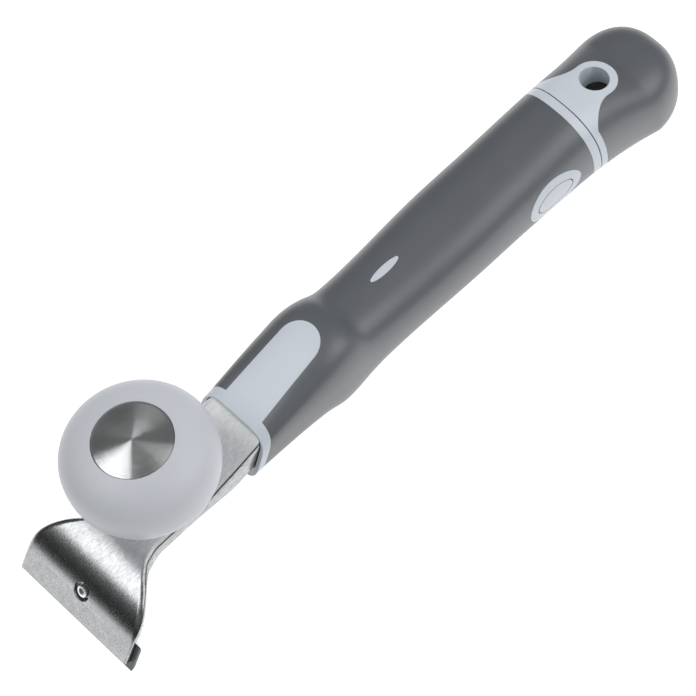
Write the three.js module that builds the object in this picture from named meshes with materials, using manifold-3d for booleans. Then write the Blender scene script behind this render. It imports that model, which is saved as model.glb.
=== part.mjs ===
import * as THREE from 'three';
import { mergeVertices } from 'three/addons/utils/BufferGeometryUtils.js';
import Module from 'manifold-3d';

// Two-handed paint scraper: a pressed steel shank with a clamped blade, a palm knob on the shank,
// a two-component handle, and an end cap that pulls out with a tray of spare blades.
// Sizes are in millimetres. While modelling, x runs back from the blade edge, y is across,
// and z is measured from the handle axis. The finished group stands on z = 0, centred on its length.

const wasm = await Module();
wasm.setup();

// Fits between pieces
const FIT = 0.3; // clearance round a piece that sits in or passes through another
const SEAT = 0.1; // gap between two flat faces that seat on each other

// Main lengths along the handle
const AXIS_HEIGHT = 20.3; // handle axis above the table
const SHANK_REACH = 73.2; // blade edge to the top of the collar
const HANDLE_LENGTH = 141.2; // top of the collar to the cap seam
const SEAM = 0.4; // open line between handle and cap
const CAP_LENGTH = 41; // cap seam to the end of the tool

// Blade
const BLADE_LENGTH = 51.4;
const BLADE_HEIGHT = 9.9;
const BLADE_THICKNESS = 1.2;
const BLADE_BEVEL = 2; // ground width on each long edge
const BLADE_OVERHANG = 1.6; // blade past each side of the jaw

// Pressed shank
const SHEET = 2; // sheet thickness
const BEND_INSIDE = 1; // inside radius of the flange bends
const EDGE_ROLL = 6; // degrees that the head's free edges are rolled down
const EDGE_LIP = 0.25; // straight lip past each bend
const JAW_LEAN = 54; // degrees of the flat jaw and the blade from the handle axis
const JAW_TIP = 2.3; // blade edge to the jaw's tip, along the jaw
const JAW_LENGTH = 19; // blade edge to the jaw's bend, along the jaw
const RAMP_LEAN = 14; // degrees of the ramp between jaw and deck
const DECK_Z = -0.6; // top of the level deck that carries the knob
const SHANK_WIDTH = 21.2; // width across the flanges beside the knob
const SHANK_WIDTH_AT_COLLAR = 22.4;
const FLANGE_FOOT_Z = -5; // lower edge of the flanges
const FLANGE_START = 17; // where the flanges run out, from the blade edge
const FLANGE_FULL = 27.5; // where the flanges are fully bent down
const SHOULDER_FRONT = 6; // start of the rounded shoulders
const SHOULDER_BACK = 30.5; // end of the rounded shoulders
const SHANK_TOP_AT_COLLAR = 7;
const TANG_TOP_Z = 7.4; // top of the tang inside the handle
const TANG_WIDTH = 15.6;
const TANG_FOOT_Z = -2; // lower edge of the tang's flanges
const TANG_TAPER = 12; // length over which the shank narrows to the tang
const TAPER_LEAD = 2; // narrowing that starts ahead of the collar
const JAW_BEND = 8; // corner to tangent point of each bend
const RAMP_BEND = 4.5;
const DECK_BEND = 2.8;
const TANG_BEND = 4;

// Blade clamp
const SCREW_RISE = 12; // blade edge to the screw, along the jaw
const SCREW_DIAMETER = 3;
const SCREW_SEAT_DIAMETER = 6.3; // countersink at the jaw's face
const SCREW_SEAT_DEPTH = 1.4;
const SCREW_SINK = 0.4; // head below the jaw's face
const SCREW_LENGTH = 11; // jaw face to the screw's end
const SCREW_SOCKET = 2.5; // across the flats of the hex socket
const SCREW_SOCKET_DEPTH = 0.8;
const HEX_SIDES = 6;
const PLATE_THICKNESS = 2.6;
const PLATE_INSET = 2; // plate narrower than the jaw, each side
const PLATE_TONGUE_START = 4; // blade edge to the plate's tongue, along the blade
const PLATE_RISE = 2.8; // screw to the top of the plate
const PLATE_STANDOFF = 0.6; // jaw's back to the plate's upper face
const BOSS_DIAMETER = 8; // threaded boss on the plate
const BOSS_HEIGHT = 2;

// Palm knob
const KNOB_REACH = 40; // blade edge to the knob's axis
const KNOB_DIAMETER = 49.6;
const KNOB_EQUATOR_Z = 30.1;
const KNOB_CROWN = 14.3; // equator to the virtual top of the crown
const KNOB_BELLY = 20.5; // equator to the virtual bottom of the ball
const CROWN_FULLNESS = 2.5; // exponent of the crown's outline; 2 is an ellipse
const BELLY_FULLNESS = 2.1;
const KNOB_NECK_DIAMETER = 19;
const KNOB_FOOT_DIAMETER = 14.4;
const DISC_DIAMETER = 25.2;
const DISC_THICKNESS = 1.2;
const DISC_RISE = 0.6; // crown of the disc
const DISC_PEG_DIAMETER = 5;
const DISC_PEG_LENGTH = 7;
const BOLT_DIAMETER = 6;
const BOLT_REACH = 22; // bolt's end above the deck
const BOLT_HEAD_DIAMETER = 11;
const BOLT_HEAD_HEIGHT = 3.4;
const BOLT_SOCKET = 4;
const BOLT_SOCKET_DEPTH = 2.2;
const BOLT_CHAMFER = 0.5;
const WASHER_DIAMETER = 13;
const WASHER_THICKNESS = 1.2;
const INSERT_DIAMETER = 9.6;
const INSERT_LENGTH = 15;

// Handle body, from the collar back to the seam
const COLLAR_WIDTH = 27.5;
const COLLAR_TOP_Z = 8.6;
const COLLAR_SLANT = 29; // degrees of the collar's front face from square
const COLLAR_BAND = 3.7; // length of the collar
const COLLAR_RUN = 16; // length of body drawn ahead of the collar's top
const COLLAR_FALL = 4; // fall of the body's top over that length
const COLLAR_DEPTH = 7.2;
const NECK_SETBACK = 23.4; // collar to the neck under the thumb pad
const NECK_WIDTH = 28.8;
const NECK_TOP_Z = 15;
const NECK_DEPTH = 7.5;
const HUMP_SETBACK = 34; // collar to the crest of the thumb hump
const HUMP_WIDTH = 31.2;
const HUMP_TOP_Z = 17.4;
const HUMP_DEPTH = 13;
const GUARD_SETBACK = 42; // collar to the finger guard under the hump
const GUARD_WIDTH = 28.8;
const GUARD_TOP_Z = 15.6;
const GUARD_DEPTH = 14.5;
const WAIST_SETBACK = 50; // collar to the waist behind the hump
const WAIST_WIDTH = 28.4;
const WAIST_TOP_Z = 13.2;
const WAIST_DEPTH = 13.7;
const PALM_SETBACK = 90; // collar to the middle of the grip
const PALM_WIDTH = 31;
const PALM_TOP_Z = 13.6;
const PALM_DEPTH = 12.7;
const REAR_SETBACK = 112; // collar to the rear of the grip
const REAR_WIDTH = 30.7;
const REAR_TOP_Z = 14.1;
const REAR_DEPTH = 14;
const SEAM_WIDTH = 31.2;
const SEAM_TOP_Z = 14.6;
const SEAM_DEPTH = 17.2;
const GRIP_SKIN = 2; // soft skin over the core
const RING_LENGTH = 3; // bare ring of the core before the seam

// Inlays of the core that show through the skin
const PAD_FRONT_WIDTH = 16.4;
const PAD_END_WIDTH = 14.6;
const PAD_END = 35.5; // collar to the rounded end of the thumb pad
const MARK_SETBACK = 64.6; // collar to the centre of the oval mark
const MARK_LENGTH = 11.7;
const MARK_WIDTH = 2.8;
const INLAY_FLOOR_Z = 4; // inlays rise from this level

// Release button
const BUTTON_SETBACK = 19.4; // seam to the button's centre
const BUTTON_Z = 0;
const BUTTON_LENGTH = 15.2;
const BUTTON_HEIGHT = 9;
const BEZEL_LENGTH = 21.8;
const BEZEL_HEIGHT = 15;
const BUTTON_TRAVEL = 2;
const BUTTON_RIM = 1.5; // retaining rim past the button's outline
const BUTTON_RIM_THICKNESS = 1.2;
const PUSHER_LENGTH = 8;
const PUSHER_HEIGHT = 5;

// Store for spare blades
const STORE_WIDTH = 17.4;
const STORE_TOP_Z = 7;
const STORE_FLOOR_Z = -7;
const STORE_CORNER = 2.5;
const BULKHEAD = 8; // solid core between the tang and the store
const SPIGOT_LENGTH = 36.4; // cap seam to the spigot's front
const TRAY_WALL = 1.2;
const TRAY_HEIGHT = 5.6;
const TENON_LENGTH = 6;
const TENON_WIDTH = 8;
const TENON_HEIGHT = 2.4;

// Latch spring
const LEAF_THICKNESS = 0.8;
const LEAF_HEIGHT = 7;
const LEAF_SETBACK = 1.6; // spigot's side to the leaf's face
const LEAF_REAR = 4; // seam to the leaf's foot
const LEAF_FOOT = 2.6; // depth of the foot in the spigot
const TOOTH_SETBACK = 14; // button's centre to the tooth
const TOOTH_LENGTH = 2.2;
const TOOTH_REACH = 1.7; // tooth past the store's wall
const CHANNEL_ROOM = 2.2; // space for the leaf to bend

// Cap
const CAP_BAND = 2.3; // bare band of the cap behind the seam
const EYELET_SETBACK = 14; // cap face to the hang hole
const EYELET_DIAMETER = 14.5;
const HANG_HOLE_DIAMETER = 9.4;
const EYELET_TOP_Z = 11.8;
const EYELET_DEPTH = 19.6;
const EYELET_WIDTH = 32.8;
const HEEL_SETBACK = 23.6; // cap face to the lowest point of the heel
const HEEL_WIDTH = 35.6;
const HEEL_TOP_Z = 8.5;
const HEEL_FLAT = 0.3; // depth of the flat that the heel rests on
const NOSE_Z = -2.8; // height of the tool's rearmost point
const DOME_FULLNESS = 2.2; // exponent of the end's dome; 2 is an ellipse
const CAP_SKIN = 2.5;
const TAB_FOOT_WIDTH = 26; // where the eyelet tab runs into the band
const TAB_JOIN = 125; // degrees round the eyelet to where the tab's flank leaves it

// Tang pins
const PIN_DIAMETER = 4;
const PIN_LENGTH = 21;
const PIN_Z = 3;
const PIN_FRONT_SETBACK = 14; // collar to the front pin
const PIN_REAR_EDGE = 9; // tang's end to the rear pin

// Facets
const SECTION_POINTS = 20;
const BEND_STEPS = 4;
const ROUND_STEPS = 30;
const SMALL_ROUND_STEPS = 18;
const OVAL_STEPS = 12;
const NOSE_STEP = 0.06; // radians from the last ring of the dome to its pole
const REACH = 100; // half-size of the blocks that cut or keep one side of a plane

// Places worked out from the sizes
const EDGE_Z = -AXIS_HEIGHT;
const COLLAR_X = SHANK_REACH;
const SEAM_X = COLLAR_X + HANDLE_LENGTH;
const CAP_X = SEAM_X + SEAM;
const END_X = CAP_X + CAP_LENGTH;
const RING_X = SEAM_X - RING_LENGTH;
const EYELET_X = CAP_X + EYELET_SETBACK;
const HEEL_X = CAP_X + HEEL_SETBACK;
const BUTTON_X = SEAM_X - BUTTON_SETBACK;
const SPIGOT_X = SEAM_X - SPIGOT_LENGTH;
const SPIGOT_WIDTH = STORE_WIDTH - 2 * FIT;
const TRAY_INSIDE = BLADE_LENGTH + 2 * FIT;
const TRAY_BACK_X = SPIGOT_X - SEAT;
const TRAY_FRONT_X = TRAY_BACK_X - TRAY_INSIDE - 2 * TRAY_WALL;
const STORE_FRONT_X = TRAY_FRONT_X - 2 * FIT;
const TANG_END_X = STORE_FRONT_X - BULKHEAD;
const HEAD_WIDTH = BLADE_LENGTH - 2 * BLADE_OVERHANG;
const BEND_OUTSIDE = SHEET + BEND_INSIDE;
const radians = THREE.MathUtils.degToRad;

// Tools for solids

function signedVolume(positions, index) {
  const corner = [new THREE.Vector3(), new THREE.Vector3(), new THREE.Vector3()];
  let volume = 0;
  for (let i = 0; i < index.length; i += 3) {
    corner.forEach((point, k) => point.fromArray(positions, 3 * index[i + k]));
    volume += corner[0].dot(corner[1].cross(corner[2])) / 6;
  }
  return volume;
}

// A closed solid from any three.js geometry, with shared corners and its faces pointing out.
function solid(geometry, place = new THREE.Matrix4()) {
  const bare = geometry.clone();
  bare.deleteAttribute('normal');
  bare.deleteAttribute('uv');
  const welded = mergeVertices(bare).applyMatrix4(place);
  const vertProperties = new Float32Array(welded.attributes.position.array);
  const triVerts = [];
  const source = welded.index.array;
  for (let i = 0; i < source.length; i += 3) {
    const [a, b, c] = [source[i], source[i + 1], source[i + 2]];
    if (a !== b && b !== c && c !== a) {
      triVerts.push(a, b, c);
    }
  }
  if (signedVolume(vertProperties, triVerts) < 0) {
    triVerts.reverse();
  }
  const mesh = new wasm.Mesh({ numProp: 3, vertProperties, triVerts: new Uint32Array(triVerts) });
  return new wasm.Manifold(mesh);
}

function geometryOf(body) {
  const { vertProperties, triVerts } = body.getMesh();
  const geometry = new THREE.BufferGeometry();
  geometry.setAttribute('position', new THREE.BufferAttribute(new Float32Array(vertProperties), 3));
  geometry.setIndex(new THREE.BufferAttribute(new Uint32Array(triVerts), 1));
  geometry.computeVertexNormals();
  return geometry;
}

function piece(name, body, material) {
  const mesh = new THREE.Mesh(geometryOf(body), material.clone());
  mesh.name = name;
  return mesh;
}

function union(...bodies) {
  return bodies.reduce((whole, body) => whole.add(body));
}

function cut(body, ...tools) {
  return tools.reduce((rest, tool) => rest.subtract(tool), body);
}

function at(x, y, z) {
  return new THREE.Matrix4().makeTranslation(x, y, z);
}

function box(low, high) {
  const size = high.map((value, axis) => value - low[axis]);
  const middle = high.map((value, axis) => (value + low[axis]) / 2);
  return solid(new THREE.BoxGeometry(...size), at(...middle));
}

// A round bar along z between two heights.
function bar(radius, low, high, steps = SMALL_ROUND_STEPS) {
  const geometry = new THREE.CylinderGeometry(radius, radius, high - low, steps).rotateX(Math.PI / 2);
  return geometry.translate(0, 0, (low + high) / 2);
}

// A hexagonal bar along z, measured across its flats.
function hexBar(flats, low, high) {
  return bar(flats / 2 / Math.cos(Math.PI / HEX_SIDES), low, high, HEX_SIDES);
}

// A revolved solid about z from [radius, height] pairs that start and end on the axis.
function revolve(profile, steps = ROUND_STEPS) {
  const points = profile.map(([radius, height]) => new THREE.Vector2(radius, height));
  return new THREE.LatheGeometry(points, steps).rotateX(Math.PI / 2);
}

// A flat shape raised along z from one height to another.
function raise(shape, low, high, curveSegments = OVAL_STEPS) {
  const options = { depth: high - low, bevelEnabled: false, curveSegments };
  return new THREE.ExtrudeGeometry(shape, options).translate(0, 0, low);
}

function ovalShape(length, width) {
  return new THREE.Shape().absellipse(0, 0, length / 2, width / 2, 0, 2 * Math.PI);
}

function polygonShape(points) {
  return new THREE.Shape(points.map(([u, v]) => new THREE.Vector2(u, v)));
}

// An oval bar that runs across the tool, from one y to another, on the button's axis.
function buttonOval(length, height, fromY, toY) {
  const turned = new THREE.Matrix4().makeRotationX(Math.PI / 2).setPosition(BUTTON_X, 0, BUTTON_Z);
  return solid(raise(ovalShape(length, height), -toY, -fromY), turned);
}

// A closed skin through a row of outlines with equal numbers of points, each in its own frame.
function loft(sections) {
  const count = sections[0].outline.length;
  const positions = [];
  const index = [];
  for (const { outline, frame } of sections) {
    for (const point of outline) {
      positions.push(...new THREE.Vector3(point.x, point.y, 0).applyMatrix4(frame).toArray());
    }
  }
  for (let ring = 0; ring < sections.length - 1; ring += 1) {
    for (let j = 0; j < count; j += 1) {
      const a = ring * count + j;
      const b = ring * count + ((j + 1) % count);
      index.push(a, b, b + count, a, b + count, a + count);
    }
  }
  const last = (sections.length - 1) * count;
  for (const [a, b, c] of THREE.ShapeUtils.triangulateShape(sections[0].outline, [])) {
    index.push(a, c, b);
  }
  for (const [a, b, c] of THREE.ShapeUtils.triangulateShape(sections[sections.length - 1].outline, [])) {
    index.push(last + a, last + b, last + c);
  }
  const geometry = new THREE.BufferGeometry();
  geometry.setAttribute('position', new THREE.Float32BufferAttribute(positions, 3));
  geometry.setIndex(index);
  return solid(geometry);
}

// A section frame at [x, z] whose outline lies across the tool, tilted by the path's slope.
function sectionFrame(x, z, slope = 0) {
  const across = new THREE.Vector3(0, 1, 0);
  const along = new THREE.Vector3(Math.cos(slope), 0, Math.sin(slope));
  const up = new THREE.Vector3(-Math.sin(slope), 0, Math.cos(slope));
  return new THREE.Matrix4().makeBasis(across, up, along).setPosition(x, 0, z);
}

// Handle and cap body

// Each station gives the body's width, its top and its depth under the axis, and how square it is.
const bodyStations = [
  [COLLAR_X - COLLAR_RUN, COLLAR_WIDTH, COLLAR_TOP_Z - COLLAR_FALL, COLLAR_DEPTH, 4],
  [COLLAR_X, COLLAR_WIDTH, COLLAR_TOP_Z, COLLAR_DEPTH, 4],
  [COLLAR_X + NECK_SETBACK, NECK_WIDTH, NECK_TOP_Z, NECK_DEPTH, 2.7],
  [COLLAR_X + HUMP_SETBACK, HUMP_WIDTH, HUMP_TOP_Z, HUMP_DEPTH, 2.6],
  [COLLAR_X + GUARD_SETBACK, GUARD_WIDTH, GUARD_TOP_Z, GUARD_DEPTH, 2.5],
  [COLLAR_X + WAIST_SETBACK, WAIST_WIDTH, WAIST_TOP_Z, WAIST_DEPTH, 2.4],
  [COLLAR_X + PALM_SETBACK, PALM_WIDTH, PALM_TOP_Z, PALM_DEPTH, 2.3],
  [COLLAR_X + REAR_SETBACK, REAR_WIDTH, REAR_TOP_Z, REAR_DEPTH, 2.3],
  [SEAM_X, SEAM_WIDTH, SEAM_TOP_Z, SEAM_DEPTH, 2.3],
  [EYELET_X, EYELET_WIDTH, EYELET_TOP_Z, EYELET_DEPTH, 2.3],
  [HEEL_X, HEEL_WIDTH, HEEL_TOP_Z, AXIS_HEIGHT + HEEL_FLAT, 2.5],
];
const stationPlaces = bodyStations.map(([x]) => x);
const stationSizes = bodyStations.flatMap(([, ...sizes]) => sizes);
const bodyCurve = new THREE.CubicInterpolant(stationPlaces, stationSizes, 4);

// The superellipse across the body at x, drawn in from the surface by inset.
// Behind the heel the section closes to the nose as a full quarter dome.
function bodySection(x, inset) {
  const [width, top, depth, squareness] = bodyCurve.evaluate(Math.min(x, HEEL_X));
  const dome = Math.max(0, (x - HEEL_X) / (END_X - inset - HEEL_X));
  const shrink = Math.max(0, 1 - dome ** DOME_FULLNESS) ** (1 / DOME_FULLNESS);
  const half = (width / 2 - inset) * shrink;
  const halfHeight = ((top + depth) / 2 - inset) * shrink;
  const middle = THREE.MathUtils.lerp((top - depth) / 2, NOSE_Z, dome * dome);
  const outline = [];
  for (let k = 0; k < SECTION_POINTS; k += 1) {
    const angle = (2 * Math.PI * k) / SECTION_POINTS;
    const [c, s] = [Math.cos(angle), Math.sin(angle)];
    const y = half * Math.sign(c) * Math.abs(c) ** (2 / squareness);
    const z = middle + halfHeight * Math.sign(s) * Math.abs(s) ** (2 / squareness);
    outline.push(new THREE.Vector2(y, z));
  }
  return { outline, frame: sectionFrame(x, 0) };
}

function spread(from, to, steps) {
  return Array.from({ length: steps + 1 }, (_, k) => THREE.MathUtils.lerp(from, to, k / steps));
}

// The handle's body, before the cap, drawn in by inset.
function handleBody(inset) {
  const front = spread(COLLAR_X - COLLAR_RUN, COLLAR_X + NECK_SETBACK, 5);
  const hump = spread(COLLAR_X + NECK_SETBACK, COLLAR_X + WAIST_SETBACK, 8).slice(1);
  const back = spread(COLLAR_X + WAIST_SETBACK, SEAM_X, 8).slice(1);
  return loft([...front, ...hump, ...back].map((x) => bodySection(x, inset)));
}

// The cap's body from the cap face to the nose, flat under the heel, drawn in by inset.
function capBody(inset) {
  const straight = spread(CAP_X, HEEL_X, 6);
  const dome = spread(0, Math.PI / 2, 6).slice(1, -1);
  dome.push(Math.PI / 2 - NOSE_STEP);
  const domePlaces = dome.map((angle) => HEEL_X + (END_X - inset - HEEL_X) * Math.sin(angle));
  const round = loft([...straight, ...domePlaces].map((x) => bodySection(x, inset)));
  return round.intersect(box([-REACH, -REACH, inset - AXIS_HEIGHT], [END_X + REACH, REACH, REACH]));
}

// Everything behind a plane that is parallel to the collar's front face and starts at x on its top.
function behindCollarPlane(x) {
  const block = new THREE.BoxGeometry(2 * REACH, 2 * REACH, 2 * REACH).translate(REACH, 0, 0);
  const place = new THREE.Matrix4().makeRotationY(radians(COLLAR_SLANT)).setPosition(x, 0, COLLAR_TOP_Z);
  return solid(block, place);
}

function slab(fromX, toX) {
  return box([fromX, -REACH, -REACH], [toX, REACH, REACH]);
}

// The tongue-shaped thumb pad in plan, grown by a margin.
function padPrism(margin) {
  const [front, end] = [PAD_FRONT_WIDTH / 2 + margin, PAD_END_WIDTH / 2 + margin];
  const middle = COLLAR_X + PAD_END - PAD_END_WIDTH / 2;
  const shape = new THREE.Shape();
  shape.moveTo(COLLAR_X - COLLAR_RUN, -front);
  shape.lineTo(COLLAR_X, -front);
  shape.lineTo(middle, -end);
  shape.absarc(middle, 0, end, -Math.PI / 2, Math.PI / 2);
  shape.lineTo(COLLAR_X, front);
  shape.lineTo(COLLAR_X - COLLAR_RUN, front);
  return solid(raise(shape, INLAY_FLOOR_Z, REACH, 8));
}

function markPrism(margin) {
  const shape = ovalShape(MARK_LENGTH + 2 * margin, MARK_WIDTH + 2 * margin);
  return solid(raise(shape, INLAY_FLOOR_Z, REACH), at(COLLAR_X + MARK_SETBACK, 0, 0));
}

function bezelPrism(margin) {
  return buttonOval(BEZEL_LENGTH + 2 * margin, BEZEL_HEIGHT + 2 * margin, -REACH, -STORE_WIDTH / 2);
}

// Pressed shank

// The blade lies flat behind the jaw: both lean alike, and the jaw's face stands out by jawLead.
const jawLead = SHEET + SEAT;
const bladeFrame = new THREE.Matrix4().makeRotationY(-radians(JAW_LEAN)).setPosition(0, 0, EDGE_Z);
const jawFrame = bladeFrame.clone().multiply(at(0, 0, jawLead));

// A path of straight runs between corners, with a smooth bend at each inner corner.
function bentPath(corners, bends) {
  const path = new THREE.Path();
  path.moveTo(corners[0].x, corners[0].y);
  for (let k = 1; k < corners.length - 1; k += 1) {
    const corner = corners[k];
    const into = corners[k - 1].clone().sub(corner).setLength(bends[k - 1]).add(corner);
    const out = corners[k + 1].clone().sub(corner).setLength(bends[k - 1]).add(corner);
    path.lineTo(into.x, into.y);
    path.quadraticCurveTo(corner.x, corner.y, out.x, out.y);
  }
  const end = corners[corners.length - 1];
  path.lineTo(end.x, end.y);
  return path;
}

// A point on the jaw's face, up the jaw from the blade edge.
function onJaw(along) {
  const place = new THREE.Vector3(along, 0, 0).applyMatrix4(jawFrame);
  return new THREE.Vector2(place.x, place.z);
}

const jawCorner = onJaw(JAW_LENGTH);
const rampTopX = jawCorner.x + (DECK_Z - jawCorner.y) / Math.tan(radians(RAMP_LEAN));
const deckEndX = KNOB_REACH + KNOB_FOOT_DIAMETER / 2 + DECK_BEND + FIT;
const riseSlope = (SHANK_TOP_AT_COLLAR - DECK_Z) / (COLLAR_X - deckEndX);
const tangStartX = COLLAR_X + (TANG_TOP_Z - SHANK_TOP_AT_COLLAR) / riseSlope;

// The sheet across the shank: a flat strip whose two edges are bent down into flanges.
// The outline is measured from the sheet's top, and grown on every side by a margin.
function sheetOutline(halfWidth, bend, flange, margin) {
  const bendStart = halfWidth - BEND_OUTSIDE * Math.sin(bend) - flange * Math.cos(bend);
  const side = (radius) => {
    const points = [];
    for (let k = 0; k <= BEND_STEPS; k += 1) {
      const angle = (bend * k) / BEND_STEPS;
      const y = bendStart + radius * Math.sin(angle);
      points.push(new THREE.Vector2(y, radius * Math.cos(angle) - BEND_OUTSIDE));
    }
    const tip = points[BEND_STEPS].clone();
    tip.x += (flange + margin) * Math.cos(bend);
    tip.y -= (flange + margin) * Math.sin(bend);
    points.push(tip);
    return points;
  };
  const mirrored = (points) => points.map((point) => new THREE.Vector2(-point.x, point.y));
  const outer = side(BEND_OUTSIDE + margin);
  const inner = side(BEND_INSIDE - margin);
  return [...outer.toReversed(), ...mirrored(outer), ...mirrored(inner).toReversed(), ...inner];
}

function shankSection(point, slope, margin) {
  const shoulder = THREE.MathUtils.smoothstep(point.x, SHOULDER_FRONT, SHOULDER_BACK);
  const flare = THREE.MathUtils.smoothstep(point.x, KNOB_REACH, COLLAR_X);
  const taper = THREE.MathUtils.smoothstep(point.x, COLLAR_X - TAPER_LEAD, COLLAR_X + TANG_TAPER);
  const headWidth = THREE.MathUtils.lerp(HEAD_WIDTH, SHANK_WIDTH, shoulder);
  const shankWidth = THREE.MathUtils.lerp(headWidth, SHANK_WIDTH_AT_COLLAR, flare);
  const halfWidth = THREE.MathUtils.lerp(shankWidth, TANG_WIDTH, taper) / 2;
  const folded = THREE.MathUtils.smoothstep(point.x, FLANGE_START, FLANGE_FULL);
  const lifted = THREE.MathUtils.smoothstep(point.x, COLLAR_X - COLLAR_RUN, COLLAR_X - COLLAR_BAND);
  const foot = THREE.MathUtils.lerp(FLANGE_FOOT_Z, TANG_FOOT_Z, lifted);
  const flange = Math.max(point.y - foot - BEND_OUTSIDE, 0) * folded;
  const bend = radians(THREE.MathUtils.lerp(EDGE_ROLL, 90, folded));
  const outline = sheetOutline(halfWidth, bend, flange + EDGE_LIP, margin);
  return { outline, frame: sectionFrame(point.x, point.y, slope) };
}

// The head, from the jaw's tip up to the deck: its sections stand square to the bent sheet.
function headSections() {
  const rampTop = new THREE.Vector2(rampTopX, DECK_Z);
  const corners = [onJaw(JAW_TIP), jawCorner, rampTop, new THREE.Vector2(FLANGE_FULL, DECK_Z)];
  const path = bentPath(corners, [JAW_BEND, RAMP_BEND]);
  const steps = 20;
  return spread(0, 1, steps).map((place) => {
    const tangent = path.getTangentAt(place);
    return shankSection(path.getPointAt(place), Math.atan2(tangent.y, tangent.x), 0);
  });
}

// The channel, from the deck back to the tang's end: its sections stay upright.
function channelSections(margin) {
  const corners = [
    new THREE.Vector2(FLANGE_FULL, DECK_Z),
    new THREE.Vector2(deckEndX, DECK_Z),
    new THREE.Vector2(tangStartX, TANG_TOP_Z),
    new THREE.Vector2(TANG_END_X + margin, TANG_TOP_Z),
  ];
  const points = bentPath(corners, [DECK_BEND, TANG_BEND]).getSpacedPoints(16);
  return points.map((point) => shankSection(point, 0, margin));
}

function pinBore(x, diameter, length) {
  const place = new THREE.Matrix4().makeRotationX(Math.PI / 2).setPosition(x, 0, PIN_Z);
  return solid(bar(diameter / 2, -length / 2, length / 2), place);
}

const pinPlaces = { tang_pin_front: COLLAR_X + PIN_FRONT_SETBACK, tang_pin_rear: TANG_END_X - PIN_REAR_EDGE };

function pinBores(margin) {
  return Object.values(pinPlaces).map((x) => pinBore(x, PIN_DIAMETER + 2 * margin, REACH));
}

// The screw's seat in the jaw: a countersink and a clear hole, about the jaw's normal.
function screwSeat() {
  const shaft = SCREW_DIAMETER / 2 + FIT;
  const seat = revolve([[0, REACH], [SCREW_SEAT_DIAMETER / 2, REACH], [SCREW_SEAT_DIAMETER / 2, 0],
    [shaft, -SCREW_SEAT_DEPTH], [shaft, -REACH], [0, -REACH]], SMALL_ROUND_STEPS);
  return solid(seat.translate(SCREW_RISE, 0, 0), jawFrame);
}

function makeShank() {
  const sheet = loft([...headSections(), ...channelSections(0).slice(1)]);
  const boltHole = solid(bar(BOLT_DIAMETER / 2 + FIT, DECK_Z - REACH, DECK_Z + REACH), at(KNOB_REACH, 0, 0));
  return cut(sheet, screwSeat(), boltHole, ...pinBores(FIT));
}

// Blade and clamp, each in its own leaning frame

// A double-edged blade across y: x runs up the blade and z = 0 is its front face.
function bladeSolid() {
  const profile = polygonShape([[0, 0], [BLADE_BEVEL, -BLADE_THICKNESS],
    [BLADE_HEIGHT - BLADE_BEVEL, -BLADE_THICKNESS], [BLADE_HEIGHT, 0]]);
  const upright = new THREE.Matrix4().makeRotationX(Math.PI / 2);
  return solid(raise(profile, -BLADE_LENGTH / 2, BLADE_LENGTH / 2), upright);
}

// The lower jaw: a tongue along the blade's back, a step that stops the blade,
// and an upper part along the jaw with the screw's boss. Modelled in the jaw's frame.
function makeClampPlate() {
  const face = -jawLead - BLADE_THICKNESS - FIT;
  const back = face - PLATE_THICKNESS;
  const stop = BLADE_HEIGHT + FIT;
  const upper = -SHEET - PLATE_STANDOFF;
  const top = SCREW_RISE + PLATE_RISE;
  const profile = polygonShape([
    [PLATE_TONGUE_START, face],
    [stop, face],
    [stop, upper],
    [top, upper],
    [top, upper - PLATE_THICKNESS],
    [BLADE_HEIGHT - BLADE_BEVEL, back],
    [PLATE_TONGUE_START + PLATE_THICKNESS / 2, back],
  ]);
  const half = HEAD_WIDTH / 2 - PLATE_INSET;
  const upright = new THREE.Matrix4().makeRotationX(Math.PI / 2);
  const plate = solid(raise(profile, -half, half), upright);
  const bossEnd = upper - PLATE_THICKNESS - BOSS_HEIGHT;
  const boss = solid(bar(BOSS_DIAMETER / 2, bossEnd, upper - PLATE_THICKNESS / 2), at(SCREW_RISE, 0, 0));
  const bore = solid(bar(SCREW_DIAMETER / 2 + FIT, -REACH, REACH), at(SCREW_RISE, 0, 0));
  return cut(union(plate, boss), bore);
}

// The screw's cone follows the seat's slope, drawn in by the fit. Modelled in the jaw's frame.
function makeClampScrew() {
  const shaft = SCREW_DIAMETER / 2;
  const slope = (SCREW_SEAT_DIAMETER / 2 - shaft - FIT) / SCREW_SEAT_DEPTH;
  const headEdge = shaft + slope * (SCREW_SEAT_DEPTH - SCREW_SINK);
  const body = revolve([[0, -SCREW_SINK], [headEdge, -SCREW_SINK], [shaft, -SCREW_SEAT_DEPTH],
    [shaft, -SCREW_LENGTH], [0, -SCREW_LENGTH]], SMALL_ROUND_STEPS);
  return cut(solid(body), solid(hexBar(SCREW_SOCKET, -SCREW_SINK - SCREW_SOCKET_DEPTH, REACH)));
}

// Palm knob, about its own upright axis

// Part of the knob's outline as [radius, z] pairs: a superellipse from one radius to another.
function knobCurve(height, fullness, fromRadius, toRadius, steps) {
  const power = 2 / fullness;
  const angleOf = (r) => Math.acos(Math.min(r / knobRadius, 1) ** (1 / power));
  const angles = spread(angleOf(fromRadius), angleOf(toRadius), steps);
  return angles.map((angle) => [
    knobRadius * Math.cos(angle) ** power,
    KNOB_EQUATOR_Z + height * Math.sin(angle) ** power,
  ]);
}

const knobRadius = KNOB_DIAMETER / 2;
const discSeatRadius = DISC_DIAMETER / 2 + FIT;
const crownEdgeZ = knobCurve(KNOB_CROWN, CROWN_FULLNESS, discSeatRadius, discSeatRadius, 1)[0][1];
const discFloorZ = crownEdgeZ - DISC_THICKNESS;

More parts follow.
